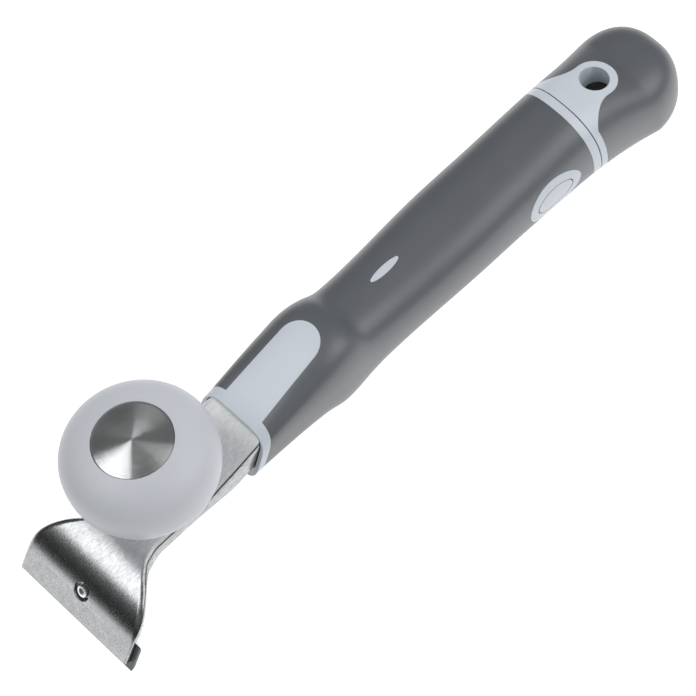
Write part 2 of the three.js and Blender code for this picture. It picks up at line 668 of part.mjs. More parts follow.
function makeKnobBall() {
  const foot = DECK_Z + SEAT;
  const crown = knobCurve(KNOB_CROWN, CROWN_FULLNESS, knobRadius, discSeatRadius, 7);
  const belly = knobCurve(-KNOB_BELLY, BELLY_FULLNESS, KNOB_NECK_DIAMETER / 2, knobRadius, 7);
  const insertTop = DECK_Z + INSERT_LENGTH + 2 * FIT;
  const boltTop = DECK_Z + BOLT_REACH + 2 * FIT;
  const insertBore = INSERT_DIAMETER / 2 + FIT;
  const boltBore = BOLT_DIAMETER / 2 + FIT;
  const pegBore = DISC_PEG_DIAMETER / 2 + FIT;
  const pegFloor = discFloorZ - DISC_PEG_LENGTH - FIT;
  return solid(revolve([
    [0, boltTop], [boltBore, boltTop], [boltBore, insertTop], [insertBore, insertTop], [insertBore, foot],
    [KNOB_FOOT_DIAMETER / 2, foot],
    ...belly, ...crown.slice(1),
    [discSeatRadius, discFloorZ - FIT], [pegBore, discFloorZ - FIT], [pegBore, pegFloor], [0, pegFloor],
  ]));
}

function makeKnobDisc() {
  const radius = DISC_DIAMETER / 2;
  const dome = spread(0, 1, 4).map((t) => [radius * t, crownEdgeZ + DISC_RISE * (1 - t * t)]);
  const peg = DISC_PEG_DIAMETER / 2;
  const pegEnd = discFloorZ - DISC_PEG_LENGTH;
  return solid(revolve([...dome, [radius, discFloorZ], [peg, discFloorZ], [peg, pegEnd], [0, pegEnd]]));
}

function makeKnobInsert() {
  const [outer, inner] = [INSERT_DIAMETER / 2, BOLT_DIAMETER / 2 + FIT];
  const tube = solid(bar(outer, DECK_Z + SEAT, DECK_Z + INSERT_LENGTH));
  return cut(tube, solid(bar(inner, -REACH, REACH)));
}

function makeKnobWasher() {
  const top = DECK_Z - SHEET - SEAT;
  const ring = solid(bar(WASHER_DIAMETER / 2, top - WASHER_THICKNESS, top));
  return cut(ring, solid(bar(BOLT_DIAMETER / 2 + FIT, -REACH, REACH)));
}

function makeKnobBolt() {
  const seat = DECK_Z - SHEET - WASHER_THICKNESS - 2 * SEAT;
  const [shaft, head] = [BOLT_DIAMETER / 2, BOLT_HEAD_DIAMETER / 2];
  const end = DECK_Z + BOLT_REACH;
  const bottom = seat - BOLT_HEAD_HEIGHT;
  const body = revolve([
    [0, end], [shaft - BOLT_CHAMFER, end], [shaft, end - BOLT_CHAMFER], [shaft, seat],
    [head, seat], [head, bottom + BOLT_CHAMFER], [head - BOLT_CHAMFER, bottom], [0, bottom],
  ], SMALL_ROUND_STEPS);
  return cut(solid(body), solid(hexBar(BOLT_SOCKET, -REACH, bottom + BOLT_SOCKET_DEPTH)));
}

// Handle

const storeMiddleZ = (STORE_TOP_Z + STORE_FLOOR_Z) / 2;

function roundedRectangle(width, height, corner) {
  const [u, v] = [width / 2, height / 2];
  const shape = new THREE.Shape();
  shape.moveTo(u, -v + corner);
  shape.absarc(u - corner, v - corner, corner, 0, Math.PI / 2);
  shape.absarc(-u + corner, v - corner, corner, Math.PI / 2, Math.PI);
  shape.absarc(-u + corner, -v + corner, corner, Math.PI, 1.5 * Math.PI);
  shape.absarc(u - corner, -v + corner, corner, 1.5 * Math.PI, 2 * Math.PI);
  return shape;
}

// A rounded bar along x with the store's section, drawn in by a margin.
function storeBar(fromX, toX, margin) {
  const height = STORE_TOP_Z - STORE_FLOOR_Z;
  const shape = roundedRectangle(STORE_WIDTH - 2 * margin, height - 2 * margin, STORE_CORNER);
  const along = sectionFrame(0, storeMiddleZ);
  return solid(raise(shape, fromX, toX, 4), along);
}

const storeSideY = -STORE_WIDTH / 2;
const rimRoom = BUTTON_TRAVEL + BUTTON_RIM_THICKNESS + FIT;
const rimSeatY = storeSideY - rimRoom;
const leafFaceY = -SPIGOT_WIDTH / 2 + LEAF_SETBACK;
const toothX = BUTTON_X - TOOTH_SETBACK;

function tenonBlock(margin) {
  const middle = (STORE_FLOOR_Z + FIT + TRAY_WALL + margin);
  const half = TENON_WIDTH / 2 + margin;
  return box(
    [SPIGOT_X - SEAT - TRAY_WALL, -half, middle - 2 * margin],
    [SPIGOT_X + TENON_LENGTH + margin, half, middle + TENON_HEIGHT],
  );
}

function makeHandleCore() {
  const outer = handleBody(0);
  const collar = cut(outer, behindCollarPlane(COLLAR_X + COLLAR_BAND));
  const shown = [padPrism(0), markPrism(0), bezelPrism(0), slab(RING_X, SEAM_X)];
  const inlays = shown.map((window) => outer.intersect(window));
  const body = union(handleBody(GRIP_SKIN), collar, ...inlays).intersect(behindCollarPlane(COLLAR_X));
  const socket = loft(channelSections(FIT));
  const store = storeBar(STORE_FRONT_X, SEAM_X + REACH, 0);
  const window = buttonOval(BUTTON_LENGTH, BUTTON_HEIGHT, -REACH, storeSideY);
  const rim = 2 * (BUTTON_RIM + FIT);
  const rimPocket = buttonOval(BUTTON_LENGTH + rim, BUTTON_HEIGHT + rim, rimSeatY, storeSideY + FIT);
  const latchPocket = box(
    [toothX - FIT, storeSideY - TOOTH_REACH - FIT, BUTTON_Z - LEAF_HEIGHT / 2 - FIT],
    [toothX + TOOTH_LENGTH + FIT, storeSideY + FIT, BUTTON_Z + LEAF_HEIGHT / 2 + FIT],
  );
  return cut(body, socket, store, window, rimPocket, latchPocket, ...pinBores(FIT));
}

function makeHandleGrip() {
  const skin = handleBody(0).subtract(handleBody(GRIP_SKIN - FIT));
  const length = behindCollarPlane(COLLAR_X + COLLAR_BAND + FIT).intersect(slab(-REACH, RING_X - FIT));
  return cut(skin.intersect(length), padPrism(FIT), markPrism(FIT), bezelPrism(FIT));
}

function makeReleaseButton() {
  const [length, height] = [BUTTON_LENGTH - 2 * FIT, BUTTON_HEIGHT - 2 * FIT];
  const head = handleBody(0).intersect(buttonOval(length, height, -REACH, rimSeatY + FIT + SEAT));
  const rimTop = rimSeatY + FIT;
  const rimEnd = rimTop + BUTTON_RIM_THICKNESS;
  const rim = buttonOval(BUTTON_LENGTH + 2 * BUTTON_RIM, BUTTON_HEIGHT + 2 * BUTTON_RIM, rimTop, rimEnd);
  const pusher = buttonOval(PUSHER_LENGTH, PUSHER_HEIGHT, rimEnd - SEAT, leafFaceY - FIT);
  return union(head, rim, pusher);
}

// Cap

// The bare band and eyelet tab of the cap in plan, grown by a margin.
function tabPrism(margin) {
  const band = CAP_X + CAP_BAND + margin;
  const foot = TAB_FOOT_WIDTH / 2 + margin;
  const radius = EYELET_DIAMETER / 2 + margin;
  const joinAngle = radians(TAB_JOIN);
  const [joinX, joinY] = [EYELET_X + radius * Math.cos(joinAngle), radius * Math.sin(joinAngle)];
  const pull = radius / 2;
  const [controlX, controlY] = [joinX - pull * Math.sin(joinAngle), joinY + pull * Math.cos(joinAngle)];
  const shape = new THREE.Shape();
  shape.moveTo(CAP_X - REACH, -foot);
  shape.lineTo(band, -foot);
  shape.quadraticCurveTo(controlX, -controlY, joinX, -joinY);
  shape.absarc(EYELET_X, 0, radius, -joinAngle, joinAngle);
  shape.quadraticCurveTo(controlX, controlY, band, foot);
  shape.lineTo(CAP_X - REACH, foot);
  return solid(raise(shape, INLAY_FLOOR_Z, REACH, 8));
}

function eyeletBar(diameter) {
  return solid(bar(diameter / 2, -REACH, REACH, ROUND_STEPS), at(EYELET_X, 0, 0));
}

// The leaf lies in a channel in the spigot's side, open at the spigot's front.
function latchChannel() {
  const half = LEAF_HEIGHT / 2 + FIT;
  const floorY = leafFaceY + LEAF_THICKNESS + CHANNEL_ROOM;
  const rearX = SEAM_X - LEAF_REAR + FIT;
  const run = box([SPIGOT_X - FIT, -REACH, BUTTON_Z - half], [rearX, floorY, BUTTON_Z + half]);
  const footX = rearX - LEAF_THICKNESS - 2 * FIT;
  const foot = box([footX, -REACH, BUTTON_Z - half], [rearX, floorY + LEAF_FOOT, BUTTON_Z + half]);
  return union(run, foot);
}

function makeCapCore() {
  const outer = capBody(0);
  const shown = [tabPrism(0), eyeletBar(EYELET_DIAMETER), slab(CAP_X - SEAM, CAP_X + CAP_BAND)];
  const inlays = shown.map((window) => outer.intersect(window));
  const spigot = storeBar(SPIGOT_X, CAP_X + FIT, FIT);
  const body = union(capBody(CAP_SKIN), spigot, ...inlays);
  return cut(body, eyeletBar(HANG_HOLE_DIAMETER), latchChannel(), tenonBlock(FIT));
}

function makeCapGrip() {
  const skin = capBody(0).subtract(capBody(CAP_SKIN - FIT));
  const behindBand = slab(CAP_X + CAP_BAND + FIT, END_X + REACH);
  return cut(skin.intersect(behindBand), tabPrism(FIT), eyeletBar(EYELET_DIAMETER + 2 * FIT));
}

// A sprung steel leaf with a foot at the back and a hooked tooth at the front, bent in plan.
function makeLatchSpring() {
  const [face, inner] = [leafFaceY, leafFaceY + LEAF_THICKNESS];
  const rear = SEAM_X - LEAF_REAR;
  const toothEnd = toothX + TOOTH_LENGTH;
  const tip = storeSideY - TOOTH_REACH;
  const footY = inner + CHANNEL_ROOM + LEAF_FOOT - FIT;
  const shape = polygonShape([
    [rear, face], [rear, footY], [rear - LEAF_THICKNESS, footY], [rear - LEAF_THICKNESS, inner],
    [toothEnd - LEAF_THICKNESS, inner], [toothEnd - LEAF_THICKNESS, tip + LEAF_THICKNESS],
    [toothX + LEAF_THICKNESS, inner], [SPIGOT_X + FIT, inner],
    [SPIGOT_X + FIT, face], [toothX, face],
    [toothEnd - LEAF_THICKNESS, tip], [toothEnd, tip], [toothEnd, face],
  ]);
  return solid(raise(shape, BUTTON_Z - LEAF_HEIGHT / 2, BUTTON_Z + LEAF_HEIGHT / 2));
}

const trayFloorZ = STORE_FLOOR_Z + FIT;
const bladeBedZ = trayFloorZ + TRAY_WALL;

function makeBladeTray() {
  const half = BLADE_HEIGHT / 2 + FIT;
  const outside = box(
    [TRAY_FRONT_X, -half - TRAY_WALL, trayFloorZ],
    [TRAY_BACK_X, half + TRAY_WALL, trayFloorZ + TRAY_HEIGHT],
  );
  const inside = box(
    [TRAY_FRONT_X + TRAY_WALL, -half, bladeBedZ],
    [TRAY_BACK_X - TRAY_WALL, half, REACH],
  );
  return union(cut(outside, inside), tenonBlock(0));
}

// Spare blades lie flat in the tray, one on the other, with their length along the handle.
function makeSpareBlade(place) {
  const thickness = BLADE_THICKNESS + SEAT;
  const turn = new THREE.Matrix4().makeRotationZ(Math.PI / 2);
  const middleX = (TRAY_FRONT_X + TRAY_BACK_X) / 2;
  const top = bladeBedZ + SEAT + BLADE_THICKNESS + place * thickness;
  const flat = bladeSolid().translate([-BLADE_HEIGHT / 2, 0, 0]).transform(turn.toArray());
  return flat.translate([middleX, 0, top]);
}

// Finishes

function finish(color, roughness, metalness) {
  return new THREE.MeshStandardMaterial({ color, roughness, metalness });
}

const brushedSteel = finish(0xc9cbcd, 0.32, 1);
const bladeSteel = finish(0x8f9294, 0.3, 1);
const springSteel = finish(0x9a9da0, 0.35, 1);
const zincSteel = finish(0xb4b7b9, 0.4, 1);
const brass = finish(0xb89a52, 0.35, 1);
const paleGrey = finish(0xc3c8cf, 0.5, 0);
const knobGrey = finish(0xbcbfc5, 0.45, 0);
const darkGrip = finish(0x5f6267, 0.7, 0);

// Assembly

const tool = new THREE.Group();
tool.position.set(-END_X / 2, 0, AXIS_HEIGHT);

const knob = new THREE.Group();
knob.position.x = KNOB_REACH;
knob.add(
  piece('knob_ball', makeKnobBall(), knobGrey),
  piece('knob_disc', makeKnobDisc(), brushedSteel),
  piece('knob_insert', makeKnobInsert(), brass),
  piece('knob_washer', makeKnobWasher(), zincSteel),
  piece('knob_bolt', makeKnobBolt(), zincSteel),
);

const jaw = new THREE.Group();
jaw.applyMatrix4(jawFrame);
const clampScrew = piece('clamp_screw', makeClampScrew(), zincSteel);
clampScrew.position.x = SCREW_RISE;
jaw.add(piece('clamp_plate', makeClampPlate(), zincSteel), clampScrew);

const blade = piece('blade', bladeSolid(), bladeSteel);
blade.applyMatrix4(bladeFrame);

const handle = new THREE.Group();
handle.add(
  piece('handle_core', makeHandleCore(), paleGrey),
  piece('handle_grip', makeHandleGrip(), darkGrip),
  piece('release_button', makeReleaseButton(), paleGrey),
);
for (const [name, x] of Object.entries(pinPlaces)) {
  handle.add(piece(name, pinBore(x, PIN_DIAMETER, PIN_LENGTH), zincSteel));
}

const cap = new THREE.Group();
cap.add(
  piece('cap_core', makeCapCore(), paleGrey),
  piece('cap_grip', makeCapGrip(), darkGrip),
  piece('latch_spring', makeLatchSpring(), springSteel),
  piece('blade_tray', makeBladeTray(), paleGrey),
  piece('spare_blade_1', makeSpareBlade(0), bladeSteel),
  piece('spare_blade_2', makeSpareBlade(1), bladeSteel),
);

tool.add(piece('shank', makeShank(), brushedSteel), knob, jaw, blade, handle, cap);

const group = new THREE.Group();
group.add(tool);

export default group;
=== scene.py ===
import math

import bpy
from mathutils import Matrix, Vector


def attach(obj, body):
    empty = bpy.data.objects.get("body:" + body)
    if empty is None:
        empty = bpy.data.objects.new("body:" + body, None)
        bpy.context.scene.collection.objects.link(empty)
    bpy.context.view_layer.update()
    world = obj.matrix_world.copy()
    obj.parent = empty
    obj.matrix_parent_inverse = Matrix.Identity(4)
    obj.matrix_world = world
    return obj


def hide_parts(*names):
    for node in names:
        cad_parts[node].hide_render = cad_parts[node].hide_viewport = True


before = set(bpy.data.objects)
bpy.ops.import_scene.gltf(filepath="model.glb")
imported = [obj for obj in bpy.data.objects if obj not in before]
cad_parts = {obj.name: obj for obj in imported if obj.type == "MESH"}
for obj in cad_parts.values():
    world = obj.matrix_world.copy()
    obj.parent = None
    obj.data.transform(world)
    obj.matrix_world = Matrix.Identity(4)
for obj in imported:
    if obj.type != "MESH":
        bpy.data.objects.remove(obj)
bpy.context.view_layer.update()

# Looks of a two-handed paint scraper: pressed steel shank, palm knob, two-component handle and end cap.
# Sizes are in millimetres in the tool's own frame: x runs back from the blade edge, y is across,
# and z is up from the handle axis. spot() turns them into metres in the shared frame.

MM = 0.001

# Fits
FIT = 0.3
SEAT = 0.1
FLUSH = 0.03  # line between two materials that are moulded onto each other
HAIR = 0.01  # next to nothing, but it keeps points apart

# Main lengths
AXIS_HEIGHT = 20.3
COLLAR_X = 73.2
SEAM_X = 214.4
SEAM = 0.4
CAP_X = SEAM_X + SEAM
END_X = 255.8

# Handle body
COLLAR_SLANT = 29
COLLAR_BAND = 3
COLLAR_SETBACK = 0.8
COLLAR_RUN = 16
COLLAR_TOP_Z = 8
GRIP_SKIN = 2
RING_X = SEAM_X - 3
HEEL_X = CAP_X + 23.6
NOSE_Z = -2.8
DOME_FULLNESS = 2.2
CAP_SKIN = 2.5
CAP_BAND = 2.3
# Each station: x, width, top, depth under the axis, and how square the section is
BODY_STATIONS = (
    (COLLAR_X - COLLAR_RUN, 27.5, COLLAR_TOP_Z - 4, 7.2, 4),
    (COLLAR_X, 27.5, COLLAR_TOP_Z, 7.2, 4),
    (COLLAR_X + 23.4, 29.9, 15, 10.6, 3),
    (COLLAR_X + 31, 30.7, 17, 13.9, 2.9),
    (COLLAR_X + 36, 30.2, 17.3, 14.5, 2.8),
    (COLLAR_X + 40.5, 29.2, 16.2, 14.4, 2.7),
    (COLLAR_X + 45, 28.5, 13.8, 14, 2.5),
    (COLLAR_X + 50, 28.4, 13.1, 13.5, 2.4),
    (COLLAR_X + 90, 31, 13.6, 12.7, 2.4),
    (COLLAR_X + 112, 30.7, 14.1, 14, 2.4),
    (SEAM_X, 31.2, 14.6, 17.2, 2.4),
    (CAP_X + 14, 32.8, 11.8, 19.6, 2.5),
    (HEEL_X, 35.6, 8.5, 20.6, 2.7),
)
SECTION_POINTS = 80
RING_STEP = 1.1
DOME_STEP = 0.06  # radians between the rings of the nose
DOME_STOP = 0.02  # radians that the last ring keeps from the tip

# Inlays
PAD_FRONT_WIDTH = 16.4
PAD_END_WIDTH = 14.6
PAD_END_X = COLLAR_X + 35.5
MARK_X = COLLAR_X + 64.6
MARK_LENGTH = 11.7
MARK_WIDTH = 2.8
INLAY_FLOOR_Z = 4
INLAY_TOP_Z = 30

# Button
BUTTON_X = SEAM_X - 19.4
BUTTON_LENGTH = 15.2
BUTTON_HEIGHT = 9
BEZEL_LENGTH = 21.8
BEZEL_HEIGHT = 15
BUTTON_TRAVEL = 2
BUTTON_GAP = 0.4
BUTTON_RIM = 1.5
BUTTON_RIM_THICKNESS = 1.2
PUSHER_LENGTH = 8
PUSHER_HEIGHT = 5

# Blade store
STORE_WIDTH = 17.4
STORE_TOP_Z = 7
STORE_CORNER = 2.5
STORE_FRONT_X = 122.9
SPIGOT_X = SEAM_X - 36.4
LEAF_HEIGHT = 7
LEAF_SETBACK = 1.6
LEAF_REAR = 4
LEAF_THICKNESS = 0.8
LEAF_FOOT = 2.6
TOOTH_SETBACK = 14
TOOTH_LENGTH = 2.2
TOOTH_REACH = 1.7
CHANNEL_ROOM = 2.2

# Cap
EYELET_X = CAP_X + 14
EYELET_DIAMETER = 14.5
HANG_HOLE_DIAMETER = 9.4
HOLE_ROUND = 0.9
MOUTH_MARGIN = 0.3
MOUTH_RISE = 0.15
EYELET_TOP_Z = 11.8
EYELET_FALL = 14  # degrees that the tab falls towards the end
TAB_FOOT_WIDTH = 26
TAB_JOIN = 95
TAB_NECK = 5
TAB_LEAD = 2  # the window starts in front of the cap
LINING_TOP_Z = 1.5
LINING = 0.8

# Shank
SHEET = 2
BEND_INSIDE = 0.5
BEND_OUTSIDE = SHEET + BEND_INSIDE
EDGE_ROLL = 6
EDGE_LIP = 0.25
EDGE_ROUND = 0.5
EDGE_FALL_WIDTH = 2.2
EDGE_FALL = 1
JAW_FALL = 0.3
FALL_START = 2
FALL_FULL = 12
JAW_LEAN = 54
JAW_TIP = 2.3
JAW_LENGTH = 19
RAMP_LEAN = 14
DECK_Z = -0.6
SHANK_WIDTH = 21.2
SHANK_WIDTH_AT_COLLAR = 24
HEAD_WIDTH = 48.2
FLANGE_FOOT_Z = -5
FLANGE_START = 17
FLANGE_FULL = 27.5
SHOULDER_FRONT = 6
SHOULDER_BACK = 30.5
SHANK_TOP_AT_COLLAR = 7.35
TANG_TOP_Z = 7.4
TANG_WIDTH = 15.6
TANG_FOOT_Z = -2
TANG_TAPER = 12
TAPER_LEAD = 2
TANG_END_X = 114.9
JAW_BEND = 8
RAMP_BEND = 4.5
DECK_BEND = 2.8
TANG_BEND = 4
HEAD_STEP = 0.6
CHANNEL_STEP = 1.2

# Blade and clamp
BLADE_LENGTH = 51.4
BLADE_HEIGHT = 9.9
BLADE_THICKNESS = 0.9
BLADE_BEVEL = 1.4
BLADE_SHORT = 0.5  # the far end stays behind the jaw
SCREW_RISE = 12
SCREW_DIAMETER = 3
SCREW_SEAT_DIAMETER = 6.3
SCREW_SEAT_DEPTH = 1.6
SCREW_SEAT_FLARE = 0.2
SCREW_SEAT_RISE = 0.1
SCREW_SEAT_DROP = 0.15
SCREW_SEAT_TAPER = 0.1
SCREW_HEAD_DIAMETER = 4.1
SCREW_SINK = 0.2
SCREW_LENGTH = 11
SCREW_POINT = 0.4
SCREW_SOCKET = 2.2
SCREW_SOCKET_DEPTH = 0.8

# Knob
KNOB_X = 40
KNOB_RADIUS = 24.4
KNOB_EQUATOR_Z = 30.7
KNOB_CROWN = 13.6
KNOB_BELLY = 20.5
CROWN_FULLNESS = 2.5
BELLY_FULLNESS = 2.1
KNOB_NECK_RADIUS = 9.5
KNOB_FOOT_RADIUS = 7.2
KNOB_FOOT_EDGE = 0.3
CROWN_EDGE = 0.3
CROWN_LIP = 0.06
CROWN_LIP_FALL = 0.02
CROWN_LIP_DEPTH = 0.25
DISC_RADIUS = 12.5
DISC_GAP = 0.2
DISC_THICKNESS = 1.2
DISC_RISE = 0.6
DISC_SINK = 0.3
BOLT_RADIUS = 3
BOLT_REACH = 22
BOLT_POINT = 0.5
BOLT_HEAD_RADIUS = 5.5
BOLT_HEAD_HEIGHT = 3.4
BOLT_HEAD_EDGE = 0.3
BOLT_HEAD_ROUND = 0.5
BOLT_HEAD_CUT = 0.15
BOLT_SOCKET = 4
BOLT_SOCKET_DEPTH = 2.2
WASHER_RADIUS = 6.5
WASHER_THICKNESS = 1.2
WASHER_EDGE = 0.2
INSERT_RADIUS = 4.8

# Turned pieces and cuts
TURN_STEPS = 96
EYELET_STEPS = 72
BOLT_STEPS = 64
SMALL_STEPS = 48
ROUND_WIDTH = 0.35
ROUND_CUT = 0.1
EDGE_SEGMENTS = 2
SHARP_ANGLE = 35
BLADE_SHARP_ANGLE = 10
FLAT_ANGLE = 1
WELD = MM / 1000
CUT_THRESHOLD = MM / 1e4
PAST = 1  # how far a cutter overruns a face
FAR = 60  # past any surface


def spot(x, y=0.0, z=0.0):
    """A point of the tool in the shared frame."""
    return Vector(((x - END_X / 2) * MM, y * MM, (z + AXIS_HEIGHT) * MM))


def spread(low, high, step):
    """Values from low to high, about a step apart."""
    count = max(1, round((high - low) / step))
    return [low + (high - low) * k / count for k in range(count + 1)]


def smoothstep(x, low, high):
    t = min(max((x - low) / (high - low), 0), 1)
    return t * t * (3 - 2 * t)


def mix(a, b, share):
    return a + (b - a) * share


# Modelling tools


def activate(obj):
    bpy.ops.object.select_all(action="DESELECT")
    obj.select_set(True)
    bpy.context.view_layer.objects.active = obj


def enter(obj):
    """Edit mode with the whole mesh selected."""
    activate(obj)
    bpy.ops.object.mode_set(mode="EDIT")
    bpy.ops.mesh.select_all(action="SELECT")


def leave():
    bpy.ops.object.mode_set(mode="OBJECT")


def outline_object(name, count, filled=False):
    """A new circle whose points are then moved onto an outline."""
    bpy.ops.object.select_all(action="DESELECT")
    bpy.ops.mesh.primitive_circle_add(vertices=count, radius=MM, fill_type="NGON" if filled else "NOTHING")
    obj = bpy.context.object
    obj.name = name
    obj.data.name = name
    return obj


def move_points(obj, points):
    obj.data.vertices.foreach_set("co", [value for point in points for value in point])
    obj.data.update()


def loft(name, rings):
    """A closed skin through rings of equally many points, bridged one to the next."""
    count = len(rings[0])
    obj = outline_object(name, count)
    enter(obj)
    for _ in rings[1:]:
        bpy.ops.mesh.primitive_circle_add(vertices=count, radius=MM)
    leave()
    move_points(obj, [point for ring in rings for point in ring])
    enter(obj)
    bpy.ops.mesh.bridge_edge_loops()
    bpy.ops.mesh.select_all(action="SELECT")
    bpy.ops.mesh.fill_holes(sides=0)
    bpy.ops.mesh.select_all(action="SELECT")
    bpy.ops.mesh.normals_make_consistent(inside=False)
    leave()
    return obj


def prism(name, points, rise):
    """A flat outline extruded along rise."""
    obj = outline_object(name, len(points), filled=True)
    move_points(obj, points)
    enter(obj)
    bpy.ops.mesh.extrude_region_move(TRANSFORM_OT_translate={"value": rise})
    bpy.ops.mesh.select_all(action="SELECT")
    bpy.ops.mesh.normals_make_consistent(inside=False)
    leave()
    return obj


def block(name, low, high):
    """A box between two corners."""
    middle = (low + high) / 2
    bpy.ops.object.select_all(action="DESELECT")
    bpy.ops.mesh.primitive_cube_add(size=1, location=middle, scale=high - low)
    obj = bpy.context.object
    obj.name = name
    bpy.ops.object.transform_apply(location=True, rotation=True, scale=True)
    return obj


def turned(name, profile, closed=False, steps=TURN_STEPS):
    """A piece spun about z from (radius, height) pairs in millimetres, standing at the origin."""
    obj = outline_object(name, len(profile))
    move_points(obj, [(radius * MM, 0, height * MM) for radius, height in profile])
    last = len(profile) - 1
    if not closed:
        for edge in obj.data.edges:
            edge.select = set(edge.vertices) == {0, last}
        for vertex in obj.data.vertices:
            vertex.select = vertex.index in (0, last)
        activate(obj)
        bpy.ops.object.mode_set(mode="EDIT")
        bpy.ops.mesh.delete(type="EDGE")
        leave()
    enter(obj)
    bpy.ops.mesh.spin(steps=steps, angle=2 * math.pi, center=(0, 0, 0), axis=(0, 0, 1))
    bpy.ops.mesh.select_all(action="SELECT")
    bpy.ops.mesh.remove_doubles(threshold=WELD)
    bpy.ops.mesh.normals_make_consistent(inside=False)
    leave()
    return obj


def round_bar(name, radius, top=FAR, steps=TURN_STEPS):
    """A round bar about z, from far below up to a top."""
    return turned(name, [(0, -FAR), (radius, -FAR), (radius, top), (0, top)], steps=steps)


def round_corner(radius, z):
    """Three points round the upper edge of a turned piece."""
    return [(radius - ROUND_WIDTH, z), (radius - ROUND_CUT, z - ROUND_CUT), (radius, z - ROUND_WIDTH)]


def put(obj, matrix):
    """Moves a finished mesh to its place, with the object left at the origin."""
    activate(obj)
    obj.matrix_world = matrix
    bpy.ops.object.transform_apply(location=True, rotation=True, scale=True)
    return obj


def copy_of(obj, name):
    twin = bpy.data.objects.new(name, obj.data.copy())
    bpy.context.scene.collection.objects.link(twin)
    return twin


def combine(target, operation, *tools, keep=False):
    """Joins, cuts or keeps what is common with each tool in turn."""
    for tool in tools:
        activate(target)
        step = target.modifiers.new("combine", "BOOLEAN")
        step.operation = operation
        step.solver = "MANIFOLD"
        step.object = tool
        bpy.ops.object.modifier_apply(modifier=step.name)
        if not keep:
            bpy.data.objects.remove(tool)
    return target


def trim(obj, place, normal):
    """Removes what lies against the normal of a plane and closes the cut."""
    enter(obj)
    bpy.ops.mesh.bisect(
        plane_co=place, plane_no=normal, use_fill=True, clear_inner=True, threshold=CUT_THRESHOLD
    )
    leave()
    return obj


def round_edges(obj, width):
    activate(obj)
    step = obj.modifiers.new("round", "BEVEL")
    step.width = width * MM
    step.segments = EDGE_SEGMENTS
    step.limit_method = "ANGLE"
    step.angle_limit = math.radians(SHARP_ANGLE)
    bpy.ops.object.modifier_apply(modifier=step.name)
    return obj


def softened(node, name, width):
    """A CAD node's own shape, welded, with its edges broken."""
    obj = copy_of(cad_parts[node], name)
    enter(obj)
    bpy.ops.mesh.remove_doubles(threshold=WELD)
    bpy.ops.mesh.dissolve_limited(angle_limit=math.radians(FLAT_ANGLE))
    leave()
    return round_edges(obj, width)


def dress(obj, body, slot, material, *nodes, sharp=SHARP_ANGLE):
    """Gives a finished piece its finish, its body and the nodes that it stands for."""
    activate(obj)
    bpy.ops.object.shade_smooth_by_angle(angle=math.radians(sharp))
    obj.data.materials.clear()
    obj.data.materials.append(material)
    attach(obj, body)
    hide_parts(*nodes)
    return obj


# Materials

COLOUR_INPUTS = (0, 6, 7)  # factor and colours of a mix node
COLOUR_OUTPUT = 2
FLAT_POINTINESS = 0.5
MOULD_MOTTLE = 70.0
MOULD_WEAR_REACH = 0.62
MOULD_WEAR = 0.25
METAL_GRAIN = 1700.0
METAL_MOTTLE = 420.0
METAL_WEAR_REACH = 0.65
METAL_WEAR = 0.5
STREAK_GAIN = 1.6
MOTTLE_SHIFT = (-0.65, -0.15)
TAIL_RUN = 5
PAINTED_TOP_FACING = (0.62, 0.74)  # upward share of the normal over which the painted light on the shank's top fades in, from the sides to the top
SPIN_SCALE = 7000.0
SPIN_DETAIL = 4.0
SPIN_HEIGHT = 0.036
SPIN_SLOPE = -0.03  # fall of the disc towards its rim
SPIN_ROUGHNESS = (0.22, 0.28)
SPIN_TURN = 0.25
METRE = 1000  # in millimetres


def linear(code):
    """A six-digit colour as linear red, green, blue and alpha."""
    parts = [int(code[k : k + 2], 16) / 255 for k in (0, 2, 4)]
    return [p / 12.92 if p <= 0.04045 else ((p + 0.055) / 1.055) ** 2.4 for p in parts] + [1]


def add_node(tree, kind, **values):
    """A node with its settings."""
    node = tree.nodes.new(kind)
    for name, value in values.items():
        setattr(node, name, value)
    return node


def plug(tree, socket, value):
    """Sets an input to a value, or links it to another node's output."""
    if isinstance(value, bpy.types.NodeSocket):
        tree.links.new(value, socket)
    else:
        socket.default_value = value


def feed(tree, node, **inputs):
    """Plugs a node's inputs by their names."""
    for name, value in inputs.items():
        plug(tree, node.inputs[name.replace("_", " ")], value)
    return node


def math_node(tree, kind, operation, *inputs):
    """A math node with its inputs plugged in order."""
    node = add_node(tree, kind, operation=operation)
    for socket, value in zip(node.inputs, inputs):
        plug(tree, socket, value)
    return node


def number_math(tree, operation, *inputs):
    return math_node(tree, "ShaderNodeMath", operation, *inputs).outputs["Value"]


def vector_math(tree, operation, *inputs):
    return math_node(tree, "ShaderNodeVectorMath", operation, *inputs).outputs["Vector"]


def length_of(tree, vector):
    return math_node(tree, "ShaderNodeVectorMath", "LENGTH", vector).outputs["Value"]


def eased(tree, value, start, end, low=0.0, high=1.0):
    """Goes smoothly from low to high while the value goes from start to end."""
    node = add_node(tree, "ShaderNodeMapRange", interpolation_type="SMOOTHSTEP")
    feed(tree, node, Value=value, From_Min=start, From_Max=end, To_Min=low, To_Max=high)
    return node.outputs["Result"]


def new_group(name, inputs, outputs):
    tree = bpy.data.node_groups.new(name, "ShaderNodeTree")
    for title, kind in inputs:
        tree.interface.new_socket(title, in_out="INPUT", socket_type=kind)
    for title in outputs:
        tree.interface.new_socket(title, in_out="OUTPUT", socket_type="NodeSocketFloat")
    return tree, tree.nodes.new("NodeGroupInput"), tree.nodes.new("NodeGroupOutput")


